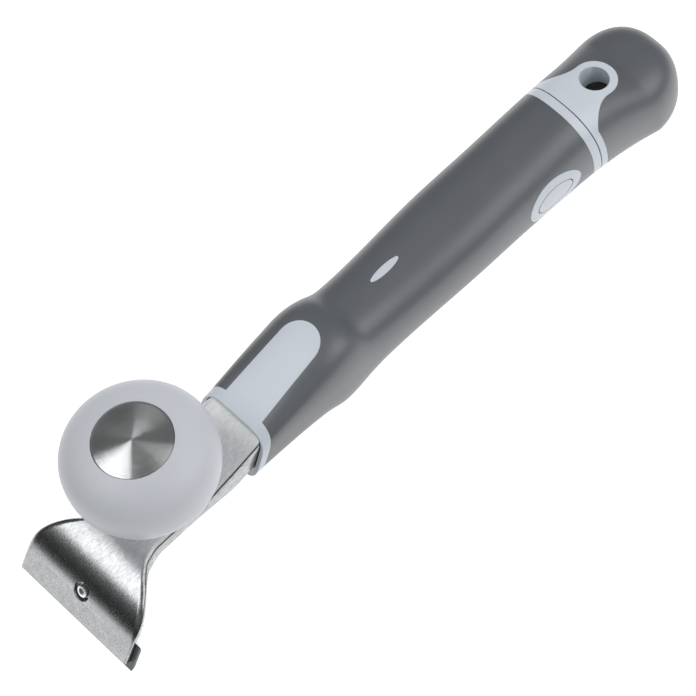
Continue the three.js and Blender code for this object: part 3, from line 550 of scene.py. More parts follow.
def grain_group():
    """Fine grain and broad mottling of a moulded or rolled surface."""
    sizes = [("Fine", "NodeSocketFloat"), ("Broad", "NodeSocketFloat")]
    tree, given, result = new_group("surface_grain", sizes, ["Grain", "Mottle"])
    place = add_node(tree, "ShaderNodeTexCoord").outputs["Object"]
    for size, title, detail in (("Fine", "Grain", 2.0), ("Broad", "Mottle", 4.0)):
        noise = add_node(tree, "ShaderNodeTexNoise")
        feed(tree, noise, Vector=place, Scale=given.outputs[size], Detail=detail)
        tree.links.new(noise.outputs["Fac"], result.inputs[title])
    return tree


def brush_group():
    """Fine lines drawn along one direction by brushing or grinding."""
    tree, given, result = new_group("brush_lines", [("Stretch", "NodeSocketVector")], ["Lines", "Streaks"])
    place = add_node(tree, "ShaderNodeTexCoord").outputs["Object"]
    drawn = vector_math(tree, "MULTIPLY", place, given.outputs["Stretch"])
    for title, scale in (("Lines", 1.0), ("Streaks", 1.2)):
        noise = add_node(tree, "ShaderNodeTexNoise")
        feed(tree, noise, Vector=drawn, Scale=scale, Detail=5.0, Roughness=0.65)
        tree.links.new(noise.outputs["Fac"], result.inputs[title])
    return tree


def wear_group():
    """Where handling has rubbed the edges."""
    tree, given, result = new_group("edge_wear", [("Reach", "NodeSocketFloat")], ["Wear"])
    point = add_node(tree, "ShaderNodeNewGeometry").outputs["Pointiness"]
    edge = eased(tree, point, FLAT_POINTINESS, given.outputs["Reach"])
    tree.links.new(edge, result.inputs["Wear"])
    return tree


GRAIN = grain_group()
BRUSH = brush_group()
WEAR = wear_group()


def new_material(name):
    """A material and its tree, with the Principled shader that its output shows."""
    material = bpy.data.materials.new(name)
    material.use_nodes = True
    tree = material.node_tree
    return material, tree, tree.nodes["Principled BSDF"]


def grouped(tree, group, **inputs):
    node = add_node(tree, "ShaderNodeGroup", node_tree=group)
    return feed(tree, node, **inputs)


def blend_colour(tree, share, low, high):
    node = add_node(tree, "ShaderNodeMix", data_type="RGBA")
    for socket, value in zip(COLOUR_INPUTS, (share, low, high)):
        plug(tree, node.inputs[socket], value)
    return node.outputs[COLOUR_OUTPUT]


def in_range(tree, value, low, high):
    span = add_node(tree, "ShaderNodeMapRange")
    return feed(tree, span, Value=value, To_Min=low, To_Max=high).outputs["Result"]


def bumped(tree, height, distance):
    """A normal from a height, with the distance in millimetres for a height of 1."""
    bump = add_node(tree, "ShaderNodeBump")
    return feed(tree, bump, Height=height, Distance=distance * MM, Strength=1.0).outputs["Normal"]


def moulded(name, low, high, roughness, grain, bump, gloss=0.5):
    """A moulded plastic or rubber: slight mottling, matt grain and rubbed edges."""
    material, tree, shader = new_material(name)
    skin = grouped(tree, GRAIN, Fine=grain, Broad=MOULD_MOTTLE)
    worn = grouped(tree, WEAR, Reach=MOULD_WEAR_REACH)
    base = blend_colour(tree, skin.outputs["Mottle"], linear(low), linear(high))
    rubbed = in_range(tree, worn.outputs["Wear"], 0.0, MOULD_WEAR)
    feed(
        tree,
        shader,
        Base_Color=blend_colour(tree, rubbed, base, linear(high)),
        Roughness=in_range(tree, skin.outputs["Grain"], *roughness),
        Specular_IOR_Level=gloss,
        Normal=bumped(tree, skin.outputs["Grain"], bump),
    )
    return material


def drawn_metal(name, low, high, roughness, stretch, bump, tail_with_painted_top=None):
    """A metal with lines left by brushing or grinding, brighter along worn edges."""
    material, tree, shader = new_material(name)
    lines = grouped(tree, BRUSH, Stretch=stretch)
    skin = grouped(tree, GRAIN, Fine=METAL_GRAIN, Broad=METAL_MOTTLE)
    worn = grouped(tree, WEAR, Reach=METAL_WEAR_REACH)
    shift = in_range(tree, skin.outputs["Mottle"], *MOTTLE_SHIFT)
    share = number_math(tree, "MULTIPLY_ADD", lines.outputs["Streaks"], STREAK_GAIN, shift)
    base = blend_colour(tree, share, linear(low), linear(high))
    rough = in_range(tree, lines.outputs["Lines"], *roughness)
    metallic = 1.0
    if tail_with_painted_top:
        base, rough, metallic = tail_finish_and_painted_top(tree, share, base, rough, tail_with_painted_top)
    rubbed = in_range(tree, worn.outputs["Wear"], 0.0, METAL_WEAR)
    height = number_math(tree, "ADD", lines.outputs["Lines"], skin.outputs["Grain"])
    feed(
        tree,
        shader,
        Base_Color=blend_colour(tree, rubbed, base, linear(high)),
        Metallic=metallic,
        Roughness=rough,
        Normal=bumped(tree, height, bump),
    )
    return material


def tail_finish_and_painted_top(tree, share, base, rough, tail_with_painted_top):
    """Colour, roughness and metal share, with a rougher, less metallic finish on the top behind the head
    and painted light there: a lighter colour on the upward faces only.
    """
    low, high, tail_rough, tail_metallic = tail_with_painted_top
    painted_top_share = painted_top_behind_knob(tree)
    # Painted light: a lighter colour for the upward faces behind the knob
    brushed_painted_top = blend_colour(tree, share, linear(low), linear(high))
    blend = add_node(tree, "ShaderNodeMix")
    feed(tree, blend, Factor=painted_top_share, A=rough, B=tail_rough)
    metallic = in_range(tree, painted_top_share, 1.0, tail_metallic)
    return blend_colour(tree, painted_top_share, base, brushed_painted_top), blend.outputs["Result"], metallic


def painted_top_behind_knob(tree):
    """0 over the shank's head and sides, rising to 1 on the top behind the head: where the painted light
    goes.
    """
    place = add_node(tree, "ShaderNodeTexCoord").outputs["Object"]
    normal = add_node(tree, "ShaderNodeNewGeometry").outputs["Normal"]
    shares = []
    for vector, axis, low, high in (
        (place, "X", spot(FLANGE_START).x, spot(FLANGE_FULL + TAIL_RUN).x),
        (normal, "Z", *PAINTED_TOP_FACING),
    ):
        axes = feed(tree, add_node(tree, "ShaderNodeSeparateXYZ"), Vector=vector)
        shares.append(eased(tree, axes.outputs[axis], low, high))
    return number_math(tree, "MULTIPLY", *shares)


def spun_metal(name, low, high, centre):
    """A slightly conical disc with the rings that spinning leaves round its centre."""
    material, tree, shader = new_material(name)
    place = add_node(tree, "ShaderNodeTexCoord").outputs["Object"]
    offset = vector_math(tree, "SUBTRACT", place, centre)
    radius = length_of(tree, vector_math(tree, "MULTIPLY", offset, (1, 1, 0)))
    noise = add_node(tree, "ShaderNodeTexNoise", noise_dimensions="1D")
    rings = feed(tree, noise, W=radius, Scale=SPIN_SCALE, Detail=SPIN_DETAIL).outputs["Fac"]
    fine = number_math(tree, "MULTIPLY", rings, SPIN_HEIGHT * MM)
    cone = number_math(tree, "MULTIPLY_ADD", radius, SPIN_SLOPE, fine)
    tangent = add_node(tree, "ShaderNodeTangent", direction_type="RADIAL", axis="Z")
    feed(
        tree,
        shader,
        Base_Color=blend_colour(tree, rings, linear(low), linear(high)),
        Metallic=1.0,
        Roughness=in_range(tree, rings, *SPIN_ROUGHNESS),
        Anisotropic=1.0,
        Anisotropic_Rotation=SPIN_TURN,
        Tangent=tangent.outputs["Tangent"],
        Normal=bumped(tree, cone, METRE),
    )
    return material


# How strongly the lines are packed along x, y and z
ALONG = (300, 2600, 1300)
ROUND = (1500, 1500, 1500)
GROUND = (7000, 400, 7000)
ROLLED = (400, 6000, 6000)
grip_rubber = moulded("grip_rubber", "505459", "585C61", (0.38, 0.48), 3600.0, 0.008, gloss=1.0)
# Painted shade: near-black rubber for the lining inside the hang hole, standing in for the shadow deep in
# the hole
hole_painted_shade = moulded("hole_painted_shade", "1A1B1D", "202224", (0.6, 0.7), 3600.0, 0.008)
core_plastic = moulded("core_plastic", "BDC4CC", "C5CBD3", (0.34, 0.42), 1500.0, 0.002)
knob_plastic = moulded("knob_plastic", "B6B9BF", "BDC0C6", (0.42, 0.5), 1800.0, 0.004)
SHANK_TAIL_PAINTED_TOP = ("C0C2C3", "F2F4F5", 0.46, 0.2)  # rougher behind the knob, with painted light making its top lighter
shank_steel = drawn_metal("shank_steel", "7E8082", "C0C2C3", (0.2, 0.33), ALONG, 0.012, SHANK_TAIL_PAINTED_TOP)
blade_steel = drawn_metal("blade_steel", "3C3E40", "606264", (0.24, 0.36), GROUND, 0.004)
zinc_steel = drawn_metal("zinc_steel", "BEC1C3", "D8DBDC", (0.22, 0.34), ROUND, 0.003)
spring_steel = drawn_metal("spring_steel", "8A8D91", "A5A8AB", (0.25, 0.36), ROLLED, 0.003)
brass = drawn_metal("brass", "A88B45", "C4A65E", (0.25, 0.36), ROUND, 0.003)
disc_steel = spun_metal("disc_steel", "B8BABB", "D8DADB", spot(KNOB_X))


# Handle and cap body


def body_at(x):
    """Width, top, depth and squareness at x, on a smooth curve through the stations."""
    x = min(x, HEEL_X)
    last = len(BODY_STATIONS) - 1
    k = max(j for j in range(last) if BODY_STATIONS[j][0] <= x or j == 0)
    before, after = BODY_STATIONS[k], BODY_STATIONS[k + 1]
    previous = BODY_STATIONS[k - 1] if k > 0 else after
    following = BODY_STATIONS[k + 2] if k + 2 <= last else before
    span = after[0] - before[0]
    ease_in = span / 2 / (before[0] - previous[0])
    ease_out = span / 2 / (following[0] - after[0])
    p = (x - before[0]) / span
    shares = (
        -ease_in * p**3 + 2 * ease_in * p**2 - ease_in * p,
        (1 + ease_in) * p**3 - (1.5 + 2 * ease_in) * p**2 + (ease_in - 0.5) * p + 1,
        -(1 + ease_out) * p**3 + (1.5 + ease_out) * p**2 + 0.5 * p,
        ease_out * p**3 - ease_out * p**2,
    )
    rows = (previous, before, after, following)
    return [sum(s * row[j] for s, row in zip(shares, rows)) for j in range(1, 5)]


def body_ring(x, inset):
    """The section across the body at x, drawn in by inset; behind the heel it closes to the nose."""
    width, top, depth, squareness = body_at(x)
    dome = max(0, (x - HEEL_X) / (END_X - inset - HEEL_X))
    shrink = max(0, 1 - dome**DOME_FULLNESS) ** (1 / DOME_FULLNESS)
    half = (width / 2 - inset) * shrink
    half_height = ((top + depth) / 2 - inset) * shrink
    middle = mix((top - depth) / 2, NOSE_Z, dome * dome)
    power = 2 / squareness
    ring = []
    for k in range(SECTION_POINTS):
        angle = 2 * math.pi * k / SECTION_POINTS
        c, s = math.cos(angle), math.sin(angle)
        y = math.copysign(abs(c) ** power, c) * half
        z = math.copysign(abs(s) ** power, s) * half_height + middle
        ring.append(spot(x, y, z))
    return ring


def handle_body(name, inset):
    places = spread(COLLAR_X - COLLAR_RUN, SEAM_X, RING_STEP)
    return loft(name, [body_ring(x, inset) for x in places])


def cap_body(name, inset):
    """The cap from its face to the nose, flat under the heel."""
    straight = spread(CAP_X, HEEL_X, RING_STEP)
    angles = spread(0, math.pi / 2 - DOME_STOP, DOME_STEP)[1:]
    dome = [HEEL_X + (END_X - inset - HEEL_X) * math.sin(angle) for angle in angles]
    body = loft(name, [body_ring(x, inset) for x in straight + dome])
    return trim(body, spot(0, 0, inset - AXIS_HEIGHT), (0, 0, 1))


def arc(centre_x, centre_y, radius, start, end, steps):
    """Plan points round a centre, between two angles in degrees."""
    angles = [math.radians(start + (end - start) * k / steps) for k in range(steps + 1)]
    return [(centre_x + radius * math.cos(a), centre_y + radius * math.sin(a)) for a in angles]


def plan_prism(name, plan):
    """A plan outline raised through the top of the body."""
    points = [spot(x, y, INLAY_FLOOR_Z) for x, y in plan]
    return prism(name, points, (0, 0, (INLAY_TOP_Z - INLAY_FLOOR_Z) * MM))


def pad_prism(margin):
    front, end = PAD_FRONT_WIDTH / 2 + margin, PAD_END_WIDTH / 2 + margin
    middle = PAD_END_X - PAD_END_WIDTH / 2
    start = COLLAR_X - COLLAR_RUN
    plan = [(start, -front), (COLLAR_X, -front)]
    plan += arc(middle, 0, end, -90, 90, steps=40)
    plan += [(COLLAR_X, front), (start, front)]
    return plan_prism("pad_window", plan)


def oval(length, width, steps=72):
    angles = [2 * math.pi * k / steps for k in range(steps)]
    return [(length / 2 * math.cos(a), width / 2 * math.sin(a)) for a in angles]


def mark_prism(margin):
    plan = [(MARK_X + x, y) for x, y in oval(MARK_LENGTH + 2 * margin, MARK_WIDTH + 2 * margin)]
    return plan_prism("mark_window", plan)


def button_bar(name, length, height, from_y, to_y):
    """An oval bar across the tool on the button's axis."""
    points = [spot(BUTTON_X + x, from_y, z) for x, z in oval(length, height)]
    return prism(name, points, (0, (to_y - from_y) * MM, 0))


def bezel_bar(margin):
    return button_bar("bezel", BEZEL_LENGTH + 2 * margin, BEZEL_HEIGHT + 2 * margin, -FAR, STORE_SIDE_Y)


def rounded_bar(name, from_x, to_x, margin):
    """A bar along x with the store's rounded section, drawn in by a margin."""
    half, height = STORE_WIDTH / 2 - margin - STORE_CORNER, STORE_TOP_Z - margin - STORE_CORNER
    corners = ((half, height, 0), (-half, height, 90), (-half, -height, 180), (half, -height, 270))
    section = [p for y, z, a in corners for p in arc(y, z, STORE_CORNER, a, a + 90, steps=8)]
    return prism(name, [spot(from_x, y, z) for y, z in section], ((to_x - from_x) * MM, 0, 0))


COLLAR_NORMAL = Vector((math.cos(math.radians(COLLAR_SLANT)), 0, -math.sin(math.radians(COLLAR_SLANT))))
BAND_X = COLLAR_X + COLLAR_SETBACK + COLLAR_BAND
STORE_SIDE_Y = -STORE_WIDTH / 2
RIM_SEAT_Y = STORE_SIDE_Y - BUTTON_TRAVEL - BUTTON_RIM_THICKNESS - FIT
LEAF_FACE_Y = -(STORE_WIDTH / 2 - FIT) + LEAF_SETBACK
PUSHER_END_Y = LEAF_FACE_Y - FIT - BUTTON_TRAVEL  # room for the press, as the leaf does not bend here


# Pressed shank


def quadratic(start, corner, end, steps=24):
    """Points of a smooth bend from start to end, drawn towards its corner."""
    shares = [k / steps for k in range(steps + 1)]
    return [start * (1 - t) ** 2 + corner * (2 * t * (1 - t)) + end * t**2 for t in shares]


def bent_path(corners, bends):
    points = [corners[0]]
    for k, bend in enumerate(bends):
        corner = corners[k + 1]
        into = corner + (corners[k] - corner).normalized() * bend
        out = corner + (corners[k + 2] - corner).normalized() * bend
        points += quadratic(into, corner, out)
    return points + [corners[-1]]


def even_points(path, step):
    """Points at equal steps along a path, each with the path's slope there."""
    lengths = [0]
    for a, b in zip(path, path[1:]):
        lengths.append(lengths[-1] + (b - a).length)
    result, k = [], 0
    for place in spread(0, lengths[-1], step):
        while k < len(path) - 2 and lengths[k + 1] < place:
            k += 1
        run = path[k + 1] - path[k]
        share = (place - lengths[k]) / (lengths[k + 1] - lengths[k])
        result.append((path[k] + run * share, math.atan2(run.y, run.x)))
    return result


def sheet_outline(half_width, bend, flange, fall, margin=0.0):
    """Across the shank: a strip with its edges bent down, measured from the sheet's top."""
    start = half_width - BEND_OUTSIDE * math.sin(bend) - flange * math.cos(bend)
    along = Vector((math.cos(bend), -math.sin(bend)))
    outward = Vector((math.sin(bend), math.cos(bend)))
    steps = 10

    def curve(radius):
        angles = [bend * k / steps for k in range(steps + 1)]
        return [Vector((start + radius * math.sin(a), radius * math.cos(a) - BEND_OUTSIDE)) for a in angles]

    outer, inner = curve(BEND_OUTSIDE + margin), curve(BEND_INSIDE - margin)
    lip, depth = (EDGE_ROUND, fall * EDGE_FALL / EDGE_FALL_WIDTH) if margin == 0 else (HAIR, HAIR)
    end = flange + margin
    high = outer[-1] + along * (end - fall) - outward * depth
    low = inner[-1] + along * (end - lip) + outward * lip
    quarter = spread(0, math.pi / 2, math.pi / 16)
    tip = [high + outward * (math.cos(a) * depth) + along * (math.sin(a) * fall) for a in quarter]
    tip += [low + (along * math.cos(a) - outward * math.sin(a)) * lip for a in quarter]
    side = outer + tip + inner[::-1]
    return side + [Vector((-p.x, p.y)) for p in reversed(side)]


def shank_ring(point, slope, margin=0.0):
    x, z = point
    shoulder = smoothstep(x, SHOULDER_FRONT, SHOULDER_BACK)
    flare = smoothstep(x, KNOB_X, COLLAR_X)
    taper = smoothstep(x, COLLAR_X - TAPER_LEAD, COLLAR_X + TANG_TAPER)
    width = mix(mix(HEAD_WIDTH, SHANK_WIDTH, shoulder), SHANK_WIDTH_AT_COLLAR, flare)
    half_width = mix(width, TANG_WIDTH, taper) / 2
    folded = smoothstep(x, FLANGE_START, FLANGE_FULL)
    lifted = smoothstep(x, COLLAR_X - COLLAR_RUN, COLLAR_X - COLLAR_BAND)
    foot = mix(FLANGE_FOOT_Z, TANG_FOOT_Z, lifted)
    rolled = EDGE_FALL_WIDTH * mix(JAW_FALL, 1, smoothstep(x, FALL_START, FALL_FULL))
    fall = mix(rolled, EDGE_ROUND, folded) if margin == 0 else HAIR
    flange = max(max(z - foot - BEND_OUTSIDE, 0) * folded + EDGE_LIP, fall + HAIR)
    bend = math.radians(mix(EDGE_ROLL, 90, folded))
    up_x, up_z = -math.sin(slope), math.cos(slope)
    outline = sheet_outline(half_width, bend, flange, fall, margin)
    return [spot(x + v * up_x, y, z + v * up_z) for y, v in outline]


JAW_LEAD = SHEET + SEAT  # the blade lies flat behind the jaw
JAW_UP = Vector((math.cos(math.radians(JAW_LEAN)), math.sin(math.radians(JAW_LEAN))))
JAW_FOOT = Vector((-JAW_UP.y * JAW_LEAD, JAW_UP.x * JAW_LEAD - AXIS_HEIGHT))
JAW_CORNER = JAW_FOOT + JAW_UP * JAW_LENGTH
RAMP_TOP_X = JAW_CORNER.x + (DECK_Z - JAW_CORNER.y) / math.tan(math.radians(RAMP_LEAN))
DECK_END_X = KNOB_X + KNOB_FOOT_RADIUS + DECK_BEND + FIT
RISE = (SHANK_TOP_AT_COLLAR - DECK_Z) / (COLLAR_X - DECK_END_X)
TANG_START_X = COLLAR_X + (TANG_TOP_Z - SHANK_TOP_AT_COLLAR) / RISE
BLADE_TURN = Matrix.Rotation(-math.radians(JAW_LEAN), 4, "Y")
BLADE_FRAME = Matrix.Translation(spot(0, 0, -AXIS_HEIGHT)) @ BLADE_TURN
SCREW_FRAME = BLADE_FRAME @ Matrix.Translation((SCREW_RISE * MM, 0, JAW_LEAD * MM))
KNOB_FRAME = Matrix.Translation(spot(KNOB_X))


def head_rings():
    tip = JAW_FOOT + JAW_UP * JAW_TIP
    corners = [tip, JAW_CORNER, Vector((RAMP_TOP_X, DECK_Z)), Vector((FLANGE_FULL, DECK_Z))]
    path = bent_path(corners, [JAW_BEND, RAMP_BEND])
    return [shank_ring(point, slope) for point, slope in even_points(path, HEAD_STEP)]


def channel_rings(margin=0.0):
    corners = [
        Vector((FLANGE_FULL, DECK_Z)),
        Vector((DECK_END_X, DECK_Z)),
        Vector((TANG_START_X, TANG_TOP_Z)),
        Vector((TANG_END_X + margin, TANG_TOP_Z)),
    ]
    path = bent_path(corners, [DECK_BEND, TANG_BEND])
    return [shank_ring(point, 0, margin) for point, _ in even_points(path, CHANNEL_STEP)]


def make_shank():
    shank = loft("pressed_shank", head_rings() + channel_rings()[1:])
    shaft = SCREW_DIAMETER / 2 + FIT
    seat = SCREW_SEAT_DIAMETER / 2
    mouth = seat + SCREW_SEAT_FLARE
    profile = [(0, FAR), (mouth, FAR), (mouth, SCREW_SEAT_RISE), (seat, -SCREW_SEAT_DROP)]
    profile += [(seat - SCREW_SEAT_TAPER, -SCREW_SEAT_DEPTH), (shaft, -SCREW_SEAT_DEPTH)]
    profile += [(shaft, -FAR), (0, -FAR)]
    screw_seat = put(turned("screw_seat", profile), SCREW_FRAME)
    bolt_hole = put(round_bar("bolt_hole", BOLT_RADIUS + FIT), KNOB_FRAME)
    combine(shank, "DIFFERENCE", screw_seat, bolt_hole)
    dress(shank, "handle", "shank_steel", shank_steel, "shank")


def make_blade():
    profile = [(0, 0), (BLADE_BEVEL, -BLADE_THICKNESS), (BLADE_HEIGHT - BLADE_BEVEL, -BLADE_THICKNESS)]
    profile += [(BLADE_HEIGHT, 0)]
    half = BLADE_LENGTH / 2 * MM
    points = [(x * MM, -half, z * MM) for x, z in profile]
    blade = prism("edge_blade", points, (0, 2 * half - BLADE_SHORT * MM, 0))
    put(blade, BLADE_FRAME)
    dress(blade, "blade", "blade_steel", blade_steel, "blade", sharp=BLADE_SHARP_ANGLE)


def make_screw():
    shaft = SCREW_DIAMETER / 2
    edge, foot = SCREW_HEAD_DIAMETER / 2, SEAT - SCREW_SEAT_DEPTH
    profile = [(0, -SCREW_SINK)] + round_corner(edge, -SCREW_SINK) + [(edge, foot), (shaft, foot)]
    profile += [(shaft, SCREW_POINT - SCREW_LENGTH), (shaft - SCREW_POINT, -SCREW_LENGTH)]
    screw = turned("jaw_screw", profile + [(0, -SCREW_LENGTH)], steps=SMALL_STEPS)
    combine(screw, "DIFFERENCE", hex_socket(SCREW_SOCKET, -SCREW_SINK - SCREW_SOCKET_DEPTH, FAR))
    put(screw, SCREW_FRAME)
    dress(screw, "clamp_screw", "zinc_steel", zinc_steel, "clamp_screw")


def hex_socket(flats, low, high):
    """A hexagonal bar about z, measured across its flats."""
    corner = flats / 2 / math.cos(math.pi / 6)
    points = [(corner * math.cos(math.pi / 3 * k), corner * math.sin(math.pi / 3 * k)) for k in range(6)]
    return prism("socket", [(x * MM, y * MM, low * MM) for x, y in points], (0, 0, (high - low) * MM))


# Palm knob


def knob_curve(height, fullness, from_radius, to_radius, steps=32):
    """Part of the knob's outline between two radii, as (radius, z) pairs."""
    power = 2 / fullness
    first, last = (math.acos(min(r / KNOB_RADIUS, 1) ** (1 / power)) for r in (from_radius, to_radius))
    angles = [mix(first, last, k / steps) for k in range(steps + 1)]
    return [
        (KNOB_RADIUS * math.cos(a) ** power, KNOB_EQUATOR_Z + height * math.sin(a) ** power) for a in angles
    ]


DISC_SEAT_RADIUS = DISC_RADIUS + DISC_GAP
CROWN_EDGE_Z = knob_curve(KNOB_CROWN, CROWN_FULLNESS, DISC_SEAT_RADIUS, DISC_SEAT_RADIUS, steps=1)[0][1]
DISC_FLOOR_Z = CROWN_EDGE_Z - DISC_THICKNESS


def make_knob():
    foot = DECK_Z + SEAT
    crown = knob_curve(KNOB_CROWN, CROWN_FULLNESS, KNOB_RADIUS, DISC_SEAT_RADIUS + CROWN_EDGE)
    belly = knob_curve(-KNOB_BELLY, BELLY_FULLNESS, KNOB_NECK_RADIUS, KNOB_RADIUS)
    edge = KNOB_FOOT_EDGE
    profile = [(0, foot), (KNOB_FOOT_RADIUS - edge, foot), (KNOB_FOOT_RADIUS, foot + edge)]
    profile += belly + crown[1:]
    profile += [(DISC_SEAT_RADIUS + CROWN_LIP, CROWN_EDGE_Z - CROWN_LIP_FALL)]
    profile += [(DISC_SEAT_RADIUS, CROWN_EDGE_Z - CROWN_LIP_DEPTH)]
    profile += [(DISC_SEAT_RADIUS, DISC_FLOOR_Z - FIT), (0, DISC_FLOOR_Z - FIT)]
    knob = put(turned("palm_knob", profile), KNOB_FRAME)
    bore = round_bar("bore", INSERT_RADIUS + FIT, DECK_Z + BOLT_REACH + FIT, SMALL_STEPS)
    combine(knob, "DIFFERENCE", put(bore, KNOB_FRAME))
    dress(knob, "handle", "knob_plastic", knob_plastic, "knob_ball")


def make_disc():
    profile = [(0, CROWN_EDGE_Z + DISC_RISE)] + round_corner(DISC_RADIUS, CROWN_EDGE_Z - DISC_SINK)
    profile += [(DISC_RADIUS, DISC_FLOOR_Z), (0, DISC_FLOOR_Z)]
    disc = put(turned("spun_disc", profile), KNOB_FRAME)
    dress(disc, "handle", "disc_steel", disc_steel, "knob_disc")


def make_bolt():
    seat = DECK_Z - SHEET - WASHER_THICKNESS - 2 * SEAT
    bottom = seat - BOLT_HEAD_HEIGHT
    end = DECK_Z + BOLT_REACH
    shaft, head = BOLT_RADIUS, BOLT_HEAD_RADIUS
    profile = [(0, end), (shaft - BOLT_POINT, end), (shaft, end - BOLT_POINT), (shaft, seat)]
    profile += [(head - BOLT_HEAD_EDGE, seat), (head, seat - BOLT_HEAD_EDGE)]
    profile += [(head, bottom + BOLT_HEAD_ROUND), (head - BOLT_HEAD_CUT, bottom + BOLT_HEAD_CUT)]
    profile += [(head - BOLT_HEAD_ROUND, bottom), (0, bottom)]
    bolt = turned("cap_bolt", profile, steps=BOLT_STEPS)
    combine(bolt, "DIFFERENCE", hex_socket(BOLT_SOCKET, bottom - PAST, bottom + BOLT_SOCKET_DEPTH))
    put(bolt, KNOB_FRAME)
    dress(bolt, "handle", "zinc_steel", zinc_steel, "knob_bolt")


def make_washer():
    top = DECK_Z - SHEET - SEAT
    low, hole, rim, edge = top - WASHER_THICKNESS, BOLT_RADIUS + FIT, WASHER_RADIUS, WASHER_EDGE
    ring = [(hole, top), (rim - edge, top), (rim, top - edge)]
    ring += [(rim, low + edge), (rim - edge, low), (hole, low)]
    washer = put(turned("bolt_washer", ring, closed=True, steps=BOLT_STEPS), KNOB_FRAME)
    dress(washer, "handle", "zinc_steel", zinc_steel, "knob_washer")


# Handle


def tooth_room():
    """The pocket in the store's wall that the latch's tooth catches in."""
    tooth = BUTTON_X - TOOTH_SETBACK
    half = LEAF_HEIGHT / 2 + FIT
    low = spot(tooth - FIT, STORE_SIDE_Y - TOOTH_REACH - FIT, -half)
    high = spot(tooth + TOOTH_LENGTH + FIT, STORE_SIDE_Y + FIT, half)
    return block("tooth_room", low, high)


def make_core(outer):
    windows = pad_prism(0)
    combine(windows, "UNION", mark_prism(0), bezel_bar(0))
    shown = combine(copy_of(outer, "shown"), "INTERSECT", windows)
    collar = trim(copy_of(outer, "collar"), spot(BAND_X, 0, COLLAR_TOP_Z), -COLLAR_NORMAL)
    ring = trim(copy_of(outer, "ring"), spot(RING_X), (1, 0, 0))
    core = handle_body("hard_core", GRIP_SKIN)
    combine(core, "UNION", shown, collar, ring)
    trim(core, spot(COLLAR_X + COLLAR_SETBACK, 0, COLLAR_TOP_Z), COLLAR_NORMAL)
    socket = loft("socket", channel_rings(FIT))
    store = rounded_bar("store", STORE_FRONT_X, SEAM_X + FAR, 0)
    window = button_bar("window", BUTTON_LENGTH, BUTTON_HEIGHT, -FAR, STORE_SIDE_Y)
    rim = 2 * (BUTTON_RIM + FIT)
    pocket = button_bar("pocket", BUTTON_LENGTH + rim, BUTTON_HEIGHT + rim, RIM_SEAT_Y, STORE_SIDE_Y + FIT)
    combine(core, "DIFFERENCE", socket, store, window, pocket, tooth_room())
    dress(core, "handle", "core_plastic", core_plastic, "handle_core")


def make_grip(outer):
    grip = trim(copy_of(outer, "soft_grip"), spot(BAND_X + FLUSH, 0, COLLAR_TOP_Z), COLLAR_NORMAL)
    trim(grip, spot(RING_X - FLUSH), (-1, 0, 0))
    inside = handle_body("inside", GRIP_SKIN - FLUSH)
    tang_room = loft("tang_room", channel_rings(FLUSH))
    combine(grip, "DIFFERENCE", inside, tang_room, pad_prism(FLUSH), mark_prism(FLUSH), bezel_bar(FLUSH))
    dress(grip, "handle", "grip_rubber", grip_rubber, "handle_grip")


def make_button(outer):
    length, height = BUTTON_LENGTH - 2 * BUTTON_GAP, BUTTON_HEIGHT - 2 * BUTTON_GAP
    button = button_bar("push_button", length, height, -FAR, RIM_SEAT_Y + FIT + SEAT)
    combine(button, "INTERSECT", outer)
    rim_top = RIM_SEAT_Y + FIT
    rim_end = rim_top + BUTTON_RIM_THICKNESS
    wide, tall = BUTTON_LENGTH + 2 * BUTTON_RIM, BUTTON_HEIGHT + 2 * BUTTON_RIM
    flange = button_bar("flange", wide, tall, rim_top, rim_end)
    pusher = button_bar("pusher", PUSHER_LENGTH, PUSHER_HEIGHT, rim_end - SEAT, PUSHER_END_Y)
    combine(button, "UNION", flange, pusher)
    dress(button, "release_button", "core_plastic", core_plastic, "release_button")


def make_handle():
    outer = handle_body("body", 0)
    make_core(outer)
    make_grip(outer)
    make_button(outer)


# Cap


def tab_prism(margin):
    """The bare band's tab in plan, running into the eyelet."""
    band = CAP_X + CAP_BAND + margin
    foot = TAB_FOOT_WIDTH / 2 + margin
    radius = EYELET_DIAMETER / 2 + margin
    turn = math.radians(TAB_JOIN)
    join = Vector((EYELET_X + radius * math.cos(turn), radius * math.sin(turn)))
    control = join + Vector((-math.sin(turn), math.cos(turn))) * TAB_NECK
    flank = [tuple(p) for p in quadratic(Vector((band, foot)), control, join, steps=16)]
    round_end = arc(EYELET_X, 0, radius, TAB_JOIN, -TAB_JOIN, steps=56)[1:-1]
    front = CAP_X - TAB_LEAD
    plan = [(front, foot)] + flank + round_end + [(x, -y) for x, y in reversed(flank)] + [(front, -foot)]
    return plan_prism("tab_window", plan)


def eyelet_bar(name, diameter, top=FAR):
    return put(round_bar(name, diameter / 2, top, EYELET_STEPS), Matrix.Translation(spot(EYELET_X)))


def hole_flare():
    """The rounded mouth of the hang hole, square to the tab."""
    radius = HANG_HOLE_DIAMETER / 2
    rim = radius + HOLE_ROUND + MOUTH_MARGIN
    fillet = [math.radians(10 * k) for k in range(10)]
    profile = [(0, -HOLE_ROUND)]
    profile += [
        (radius + HOLE_ROUND * (1 - math.cos(a)), -HOLE_ROUND * (1 - math.sin(a))) for a in fillet
    ]
    profile += [(rim, MOUTH_RISE), (rim, FAR), (0, FAR)]
    flare = turned("hole_flare", profile, steps=EYELET_STEPS)
    lean = Matrix.Rotation(math.radians(EYELET_FALL), 4, "Y")
    return put(flare, Matrix.Translation(spot(EYELET_X, 0, EYELET_TOP_Z)) @ lean)


